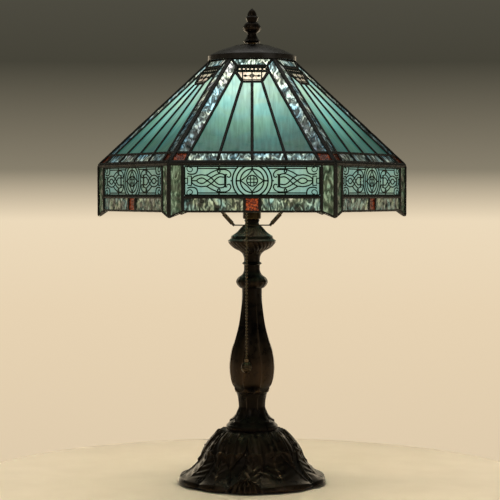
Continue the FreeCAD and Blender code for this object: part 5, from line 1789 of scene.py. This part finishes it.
class Drawing:
    """A flat pattern of lines, drawn in millimetres about a middle and mirrored about it."""

    def __init__(self, mirror_u: bool = True, mirror_v: bool = True) -> None:
        """Starts empty.

        Args:
            mirror_u: whether every stroke is repeated on the other side of u = 0.
            mirror_v: whether every stroke is repeated on the other side of v = 0.
        """
        sides_u = (1, -1) if mirror_u else (1,)
        sides_v = (1, -1) if mirror_v else (1,)
        self.mirrors = [(su, sv) for su in sides_u for sv in sides_v]
        self.strokes: list[tuple[list[Flat], float]] = []

    def line(self, points: Sequence[Flat], width: float = 1.6) -> None:
        """Draws straight lines through points, and their mirror images.

        Args:
            points: the points.
            width: the line's width.
        """
        seen = set()
        for su, sv in self.mirrors:
            stroke = [(su * u, sv * v) for u, v in points]
            key = tuple(sorted((round(u, 3), round(v, 3)) for u, v in stroke))
            if key not in seen:
                seen.add(key)
                self.strokes.append((stroke, width))

    def oval(
        self,
        u: float,
        v: float,
        wide: float,
        tall: float,
        start: float = 0.0,
        end: float = 360.0,
        width: float = 1.6,
    ) -> None:
        """Draws an oval or a part of one.

        Args:
            u: its middle across.
            v: its middle upwards.
            wide: its half width.
            tall: its half height.
            start: the angle in degrees where it starts.
            end: the angle where it ends.
            width: the line's width.
        """
        count = max(6, int(abs(end - start) / 360.0 * (14 + 1.6 * max(wide, tall))))
        angles = [math.radians(start + (end - start) * i / count) for i in range(count + 1)]
        self.line([(u + wide * math.cos(a), v + tall * math.sin(a)) for a in angles], width)

    def curve(self, points: Sequence[Flat], width: float = 1.6, steps: int = 5) -> None:
        """Draws a smooth line through points.

        Args:
            points: the points.
            width: the line's width.
            steps: how many straight parts it has between two points.
        """
        padded = [np.array(p, float) for p in (points[0], *points, points[-1])]
        smooth: list[Flat] = []
        for p, q, r, s in zip(padded, padded[1:], padded[2:], padded[3:]):
            for i in range(steps):
                t = i / steps
                slope, bend, twist = r - p, 2 * p - 5 * q + 4 * r - s, 3 * q - p - 3 * r + s
                place = 0.5 * (2 * q + slope * t + bend * t**2 + twist * t**3)
                smooth.append((float(place[0]), float(place[1])))
        self.line(smooth + [points[-1]], width)

    def spiral(self, u: float, v: float, wide: float, tight: float, start: float, turns: float) -> None:
        """Draws a scroll that winds in to its middle.

        Args:
            u: its middle across.
            v: its middle upwards.
            wide: its outer radius.
            tight: its inner radius.
            start: the angle in degrees of its outer end.
            turns: how many turns it makes, negative for the other way.
        """
        count = int(abs(turns) * 16)
        points = []
        for i in range(count + 1):
            angle = math.radians(start + 360 * turns * i / count)
            radius = wide + (tight - wide) * i / count
            points.append((u + radius * math.cos(angle), v + radius * math.sin(angle)))
        self.line(points, 1.2)


@dataclass(frozen=True)
class Sheet:
    """A pierced sheet laid on the glass, made of its pattern's bars."""

    low: float = -0.78 * MM
    high: float = -0.18 * MM
    bevel: float = 0.14 * MM
    apart: float = 0.02 * MM
    levels: int = 6

    def bar(
        self, clay: Clay, board: Board, stroke: Sequence[Flat], width: float, middle: Flat, number: int
    ) -> None:
        """Adds one bar with bevelled edges.

        Args:
            clay: where it goes.
            board: the board that it lies on.
            stroke: the points of its middle line, in millimetres.
            width: its width, in millimetres.
            middle: the u and v of the pattern's middle, in metres.
            number: its number, which sets it apart a little from the bars that it crosses.
        """
        points = [np.array(p, float) * MM for p in stroke]
        closed = len(points) > 3 and np.linalg.norm(points[0] - points[-1]) < 0.01 * MM
        points = points[:-1] if closed else points
        count = len(points)
        high = self.high - self.apart * (number % self.levels)
        half = width * MM / 2
        section = ((half, self.low), (half - self.bevel, high), (self.bevel - half, high), (-half, self.low))
        places = []
        for i, here in enumerate(points):
            before = points[i - 1] if (i or closed) else here
            after = points[(i + 1) % count] if (i < count - 1 or closed) else here
            along = (after - before) / max(np.linalg.norm(after - before), 1e-9)
            across = np.array([-along[1], along[0]])
            for aside, lift in section:
                u, v = here + across * aside
                places.append(tuple(board.at(middle[0] + u, middle[1] + v, lift)))
        clay.add(places, ring_faces(count, len(section), closed))

    def cut(self, name: str, node: str, board: Board, drawing: Drawing, middle: Flat) -> None:
        """Makes the sheets of all six faces, in place of a CAD node.

        Args:
            name: the piece's name.
            node: the CAD node.
            board: the board that the sheets lie on.
            drawing: their pattern.
            middle: the u and v of the pattern's middle.
        """
        clay = Clay()
        for number, (stroke, width) in enumerate(drawing.strokes):
            self.bar(clay, board, stroke, width, middle, number)
        clay.round_copies().piece(name, Body.SHADE, "filigree_bronze", node, angle=30.0)


LENS = ((14.0, 0.0), (10.0, 2.9), (6.2, 6.0), (2.9, 9.6), (0.0, 13.6))
HOOK = ((30.6, 5.2), (27.6, 4.2), (25.8, 7.4), (28.0, 11.4), (32.6, 13.5), (38.0, 13.6), (40.2, 14.8))
OUTER_OVAL = (
    (40.2, 14.8),
    (42.8, 13.1),
    (49.4, 10.2),
    (55.6, 6.8),
    (62.0, 7.2),
    (68.8, 5.6),
    (72.6, 2.8),
    (73.4, 0),
)
INNER_OVAL = (
    (34.4, 7.8),
    (38.2, 8.6),
    (42.0, 7.9),
    (47.8, 4.9),
    (54.6, 0),
    (59.8, -3.2),
    (64.8, -2.4),
    (67.2, 0),
)
WAIST = ((34.2, 4.2), (39.4, 4.7), (43.2, 2.7), (46.0, 0), (49.8, -3.6), (54.8, -6.4))
SCROLL_STEM = ((66.4, 12.6), (68.8, 8.9), (74.2, 7.8), (78.6, 9.0))
HOOP_RADII = (24.0, 19.3)
RING_RADIUS = 14.3
SHEET_EDGE = 0.9
JEWEL_BAR = 0.33
JEWEL_LINES = (0.46, 0.84)
JEWEL_BOX = 12.2
JEWEL_RINGS = 4
JEWEL_RING_STEP = 5.2


def band_middle(drawing: Drawing, tall: float) -> None:
    """Draws the round middle of the band's pattern.

    Args:
        drawing: the pattern.
        tall: the sheet's half height, in millimetres.
    """
    outer, inner = HOOP_RADII
    for radius in HOOP_RADII:
        reach = math.degrees(math.asin((tall - 0.4) / radius))
        drawing.oval(0, 0, radius, radius, -reach, reach, 1.9)
    drawing.oval(0, 0, RING_RADIUS, RING_RADIUS, width=1.8)
    drawing.curve(LENS)
    drawing.oval(0, 0, 6.6, 6.6)
    drawing.line([(-6.4, 2.1), (6.4, 2.1)], 1.3)
    drawing.line([(2.1, -6.4), (2.1, 6.4)], 1.3)
    drawing.line([(RING_RADIUS, 0), (inner, 0)], 1.9)
    drawing.line([(0, RING_RADIUS), (0, tall)], 1.9)
    drawing.line([(outer, 0), (26.4, 0)], 1.6)


def band_drawing(half: float, tall: float) -> Drawing:
    """The pattern over the skirt's band: a round middle, and a chain of ovals in scrolls on each side.

    Args:
        half: the sheet's half width, in millimetres.
        tall: its half height.

    Returns:
        The pattern.
    """
    drawing = Drawing()
    band_middle(drawing, tall)
    drawing.line([(32.6, -7.0), (32.6, 7.0)], 3.0)
    drawing.line([(30.2, 7.4), (35.0, 7.4)], 1.6)
    for points in (HOOK, OUTER_OVAL, INNER_OVAL, WAIST):
        drawing.curve(points)
    drawing.line([(67.2, 0), (73.4, 0)])
    drawing.line([(40.2, 14.8), (40.2, tall)], 2.2)
    drawing.oval(40.4, 11.6, 1.5, 1.7)
    drawing.line([(19.6, 14.8), (66.4, 14.8)], 1.5)
    drawing.curve([(66.2, tall), *SCROLL_STEM], 1.7)
    drawing.spiral(75.0, 14.2, 5.0, 1.6, 112.0, -1.15)
    drawing.line([(73.6, -5.2), (73.6, 5.2)], 1.5)
    drawing.line([(73.0, 5.6), (78.2, 5.6), (78.2, 3.0), (half, 3.0)], 1.4)
    drawing.line([(78.2, -3.0), (78.2, 3.0)], 1.4)
    side, top = half - SHEET_EDGE, tall - SHEET_EDGE
    drawing.line([(-side, top), (side, top)], 1.8)
    drawing.line([(side, -top), (side, top)], 1.8)
    return drawing


def jewel_drawing(outline: Sequence[Flat]) -> Drawing:
    """The pattern over a jewel: a row of rings, a framed square with a small circle, and its rim.

    Args:
        outline: the jewel's outline about its middle, in millimetres.

    Returns:
        The pattern.
    """
    drawing = Drawing(mirror_u=True, mirror_v=False)
    top, foot = min(v for _, v in outline), max(v for _, v in outline)
    tall = foot - top
    right = sorted((v, u) for u, v in outline if u > 0)

    def reach(v: float) -> float:
        """The jewel's half width at a height, less the sheet's own edge."""
        return float(np.interp(v, [height for height, _ in right], [width for _, width in right])) - 0.8

    low, bar = top + 1.1, top + tall * JEWEL_BAR
    drawing.line([(-reach(low), low), (reach(low), low)], 2.2)
    drawing.line([(-reach(bar), bar), (reach(bar), bar)], 3.2)
    for n in range(JEWEL_RINGS):
        drawing.oval(n * JEWEL_RING_STEP, (low + bar) / 2 - 0.3, 2.35, 2.35, width=1.7)
    upper, lower = (bar + (foot - bar) * share for share in JEWEL_LINES)
    drawing.line([(0, bar), (0, foot)], 1.4)
    drawing.line([(-JEWEL_BOX, upper), (JEWEL_BOX, upper)], 1.3)
    drawing.line([(-JEWEL_BOX, lower), (JEWEL_BOX, lower)], 1.3)
    drawing.line([(JEWEL_BOX, bar), (JEWEL_BOX, lower)], 1.7)
    drawing.oval(0, upper, 2.7, 2.7, width=1.3)
    drawing.oval(8.4, upper, 1.2, 1.2, width=1.9)
    middle = top + tall / 2
    rim = [(u * 0.965, middle + (v - top - tall / 2) * 0.96) for u, v in outline]
    drawing.line(rim + [rim[0]], 1.5)
    return drawing


# ------------------------------------------------------------------ shade


@dataclass
class Shade:
    """The leaded shade: its panes, their solder and the pierced sheets."""

    glazings: tuple[Glazing, ...] = (
        Glazing("fan_panes", "fan_glass", "teal_glass", 2.6 * MM),
        Glazing("hip_strip_panes", "hip_strip_glass", "textured_glass", 1.6 * MM, 0.5 * MM, 4.5 * MM),
        Glazing("top_light_panes", "top_light_glass", "textured_glass", 1.6 * MM, 0.4 * MM, 4.5 * MM),
        Glazing("jewel_panes", "jewel_glass", "pearl_glass", 2.0 * MM, 0.06 * MM),
        Glazing("corner_red_panes", "corner_red_glass", "red_glass", 1.4 * MM, 0.4 * MM, 2.6 * MM),
        Glazing("row_clear_panes", "row_clear_glass", "textured_glass", 1.6 * MM, 0.5 * MM, 4.5 * MM),
        Glazing("band_panes", "band_glass", "teal_glass", 3.0 * MM, 0.06 * MM),
        Glazing("post_panes", "post_glass", "pale_glass", 1.6 * MM, 0.5 * MM, 5.0 * MM),
        Glazing("hem_red_panes", "hem_red_glass", "red_glass", 1.4 * MM, 0.4 * MM, 2.6 * MM),
        Glazing("hem_clear_panes", "hem_clear_glass", "textured_glass", 1.6 * MM, 0.5 * MM, 4.5 * MM),
    )
    sheet_gap: float = 0.06

    def front_outline(self, panes: Sequence[Pane]) -> list[Flat]:
        """The outline of the front pane of a node."""
        return next(pane.outline for pane in panes if pane.face == 0)

    def middle(self, panes: Sequence[Pane]) -> tuple[Flat, float, float]:
        """The size of the front pane of a node.

        Args:
            panes: the node's panes.

        Returns:
            Its middle, half width and half height.
        """
        outline = self.front_outline(panes)
        us, vs = [u for u, _ in outline], [v for _, v in outline]
        centre = ((max(us) + min(us)) / 2, (max(vs) + min(vs)) / 2)
        return centre, (max(us) - min(us)) / 2, (max(vs) - min(vs)) / 2

    def build(self) -> None:
        """Makes the shade's pieces."""
        panes = {glazing.node: glazing.build() for glazing in self.glazings}
        Leads([pane for group in panes.values() for pane in group]).build()
        centre, half, tall = self.middle(panes["band_glass"])
        drawing = band_drawing(half / MM - self.sheet_gap, tall / MM - self.sheet_gap)
        Sheet().cut("band_filigree_sheets", "band_filigree", SKIRT, drawing, centre)
        centre, _, _ = self.middle(panes["jewel_glass"])
        front = self.front_outline(panes["jewel_glass"])
        outline = [((u - centre[0]) / MM, (v - centre[1]) / MM) for u, v in front]
        Sheet().cut("jewel_filigree_sheets", "jewel_filigree", SLOPE, jewel_drawing(outline), centre)


# ------------------------------------------------------------------ studio


@dataclass(frozen=True)
class SoftLamp:
    """A large soft light that faces a point of the lamp."""

    name: str
    place: tuple[float, float, float]
    aim: tuple[float, float, float]
    wide: float
    tall: float
    power: float
    colour: Colour = (1.0, 0.96, 0.9)

    def hang(self) -> None:
        """Adds the light."""
        light = bpy.data.lights.new(self.name, "AREA")
        light.shape = "RECTANGLE"
        light.size, light.size_y = self.wide, self.tall
        light.energy = self.power
        light.color = self.colour
        thing = bpy.data.objects.new(self.name, light)
        thing.location = self.place
        facing = Vector(self.aim) - Vector(self.place)
        thing.rotation_euler = facing.to_track_quat("-Z", "Y").to_euler()
        thing.visible_camera = False
        bpy.context.scene.collection.objects.link(thing)


@dataclass
class Studio:
    """The floor, the air around, the lights and the camera."""

    floor_radius: float = 0.4
    floor_thick: float = 0.03
    floor_round: float = 0.01
    floor_sides: int = 128
    bulb_power: float = 9.0
    bulb_colour: Colour = (1.0, 0.83, 0.6)
    bulb_radius: float = 22 * MM
    air_reach: float = 0.25
    air_stops: tuple[Stop, ...] = (
        (0.0, (0.68, 0.55, 0.38)),
        (0.36, (0.80, 0.65, 0.45)),
        (0.47, (0.84, 0.70, 0.50)),
        (0.53, (0.24, 0.21, 0.15)),
        (0.66, (0.06, 0.056, 0.04)),
        (1.0, (0.12, 0.115, 0.09)),
    )
    eye: tuple[float, float, float] = (-0.0026, -2.17, 0.3805)
    dip: float = 1.916
    lens: float = 118.4
    sensor: float = 36.0
    lamps: tuple[SoftLamp, ...] = (
        SoftLamp("key", (-0.9, -1.5, 1.5), (0, 0, 0.3), 1.0, 1.0, 4.5),
        SoftLamp("fill", (1.3, -1.3, 0.6), (0, 0, 0.3), 0.8, 1.2, 2.5),
        SoftLamp("left_edge", (-0.62, 1.3, 0.3), (0, 0, 0.2), 0.4, 1.0, 2.2, (1.0, 0.84, 0.6)),
        SoftLamp("right_edge", (0.62, 1.3, 0.3), (0, 0, 0.2), 0.4, 1.0, 2.2, (1.0, 0.84, 0.6)),
        SoftLamp("top", (0.0, 0.3, 1.7), (0, 0, 0.4), 1.2, 1.2, 4.0),
    )

    def floor(self) -> None:
        """Lays the plain pale floor."""
        shader = Shader("floor_finish")
        cloud = shader.noise(60 * MM, detail=2.0)
        pale = shader.ramp(cloud, [(0.3, (0.88, 0.79, 0.66)), (0.7, (0.93, 0.84, 0.71))])
        shader.set(Base_Color=pale, Roughness=0.55)
        rim = self.floor_radius
        profile = [(rim - self.floor_round, 0.0), (rim, -self.floor_round), (rim, -self.floor_thick)]
        points = round_points(profile, self.floor_sides)
        mesh = bpy.data.meshes.new("floor")
        mesh.from_pydata(points, [], ring_faces(len(profile), self.floor_sides))
        mesh.materials.append(shader.material)
        thing = bpy.data.objects.new("floor", mesh)
        bpy.context.scene.collection.objects.link(thing)

    def air(self) -> None:
        """Sets the light all around: pale and warm low down, darker higher up."""
        world = bpy.data.worlds.new("air")
        world.use_nodes = True
        bpy.context.scene.world = world
        nodes, links = world.node_tree.nodes, world.node_tree.links
        place = nodes.new("ShaderNodeTexCoord")
        split = nodes.new("ShaderNodeSeparateXYZ")
        links.new(place.outputs["Generated"], split.inputs[0])
        spread = nodes.new("ShaderNodeMapRange")
        spread.inputs["From Min"].default_value = -self.air_reach
        spread.inputs["From Max"].default_value = self.air_reach
        links.new(split.outputs["Z"], spread.inputs["Value"])
        ramp = nodes.new("ShaderNodeValToRGB")
        set_stops(ramp.color_ramp, self.air_stops)
        links.new(spread.outputs[0], ramp.inputs["Fac"])
        links.new(ramp.outputs["Color"], nodes["Background"].inputs["Color"])

    def bulb_light(self) -> None:
        """Puts the light inside the bulb."""
        light = bpy.data.lights.new("bulb_light", "POINT")
        light.energy = self.bulb_power
        light.color = self.bulb_colour
        light.shadow_soft_size = self.bulb_radius
        thing = bpy.data.objects.new("bulb_light", light)
        thing.location = LIGHT_POINT
        bpy.context.scene.collection.objects.link(thing)
        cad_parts["bulb_glass"].visible_shadow = False
        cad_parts["bulb_stem"].visible_shadow = False

    def camera(self) -> None:
        """Sets the camera level with the lamp's middle, in front of it."""
        camera = bpy.data.cameras.new("camera")
        camera.lens = self.lens
        camera.sensor_width = self.sensor
        thing = bpy.data.objects.new("camera", camera)
        thing.location = self.eye
        thing.rotation_euler = (math.radians(90.0 - self.dip), 0.0, 0.0)
        bpy.context.scene.collection.objects.link(thing)
        bpy.context.scene.camera = thing

    def build(self) -> None:
        """Sets up the whole studio."""
        self.floor()
        self.air()
        self.bulb_light()
        self.camera()
        for lamp in self.lamps:
            lamp.hang()
        bpy.context.scene.view_settings.view_transform = "Standard"


def dress() -> None:
    """Gives every CAD node the finish of its material slot."""
    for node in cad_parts.values():
        slot = node.data.materials[0].name
        node.data.materials.clear()
        node.data.materials.append(material(slot))


def main() -> None:
    """Builds the lamp in order, then the studio."""
    logging.basicConfig(level=logging.INFO, format="%(message)s")
    dress()
    Foot().build()
    Column().build()
    Top().build()
    Bulb().build()
    PullChain().build()
    Shade().build()
    Studio().build()


if __name__ == "__main__":
    main()
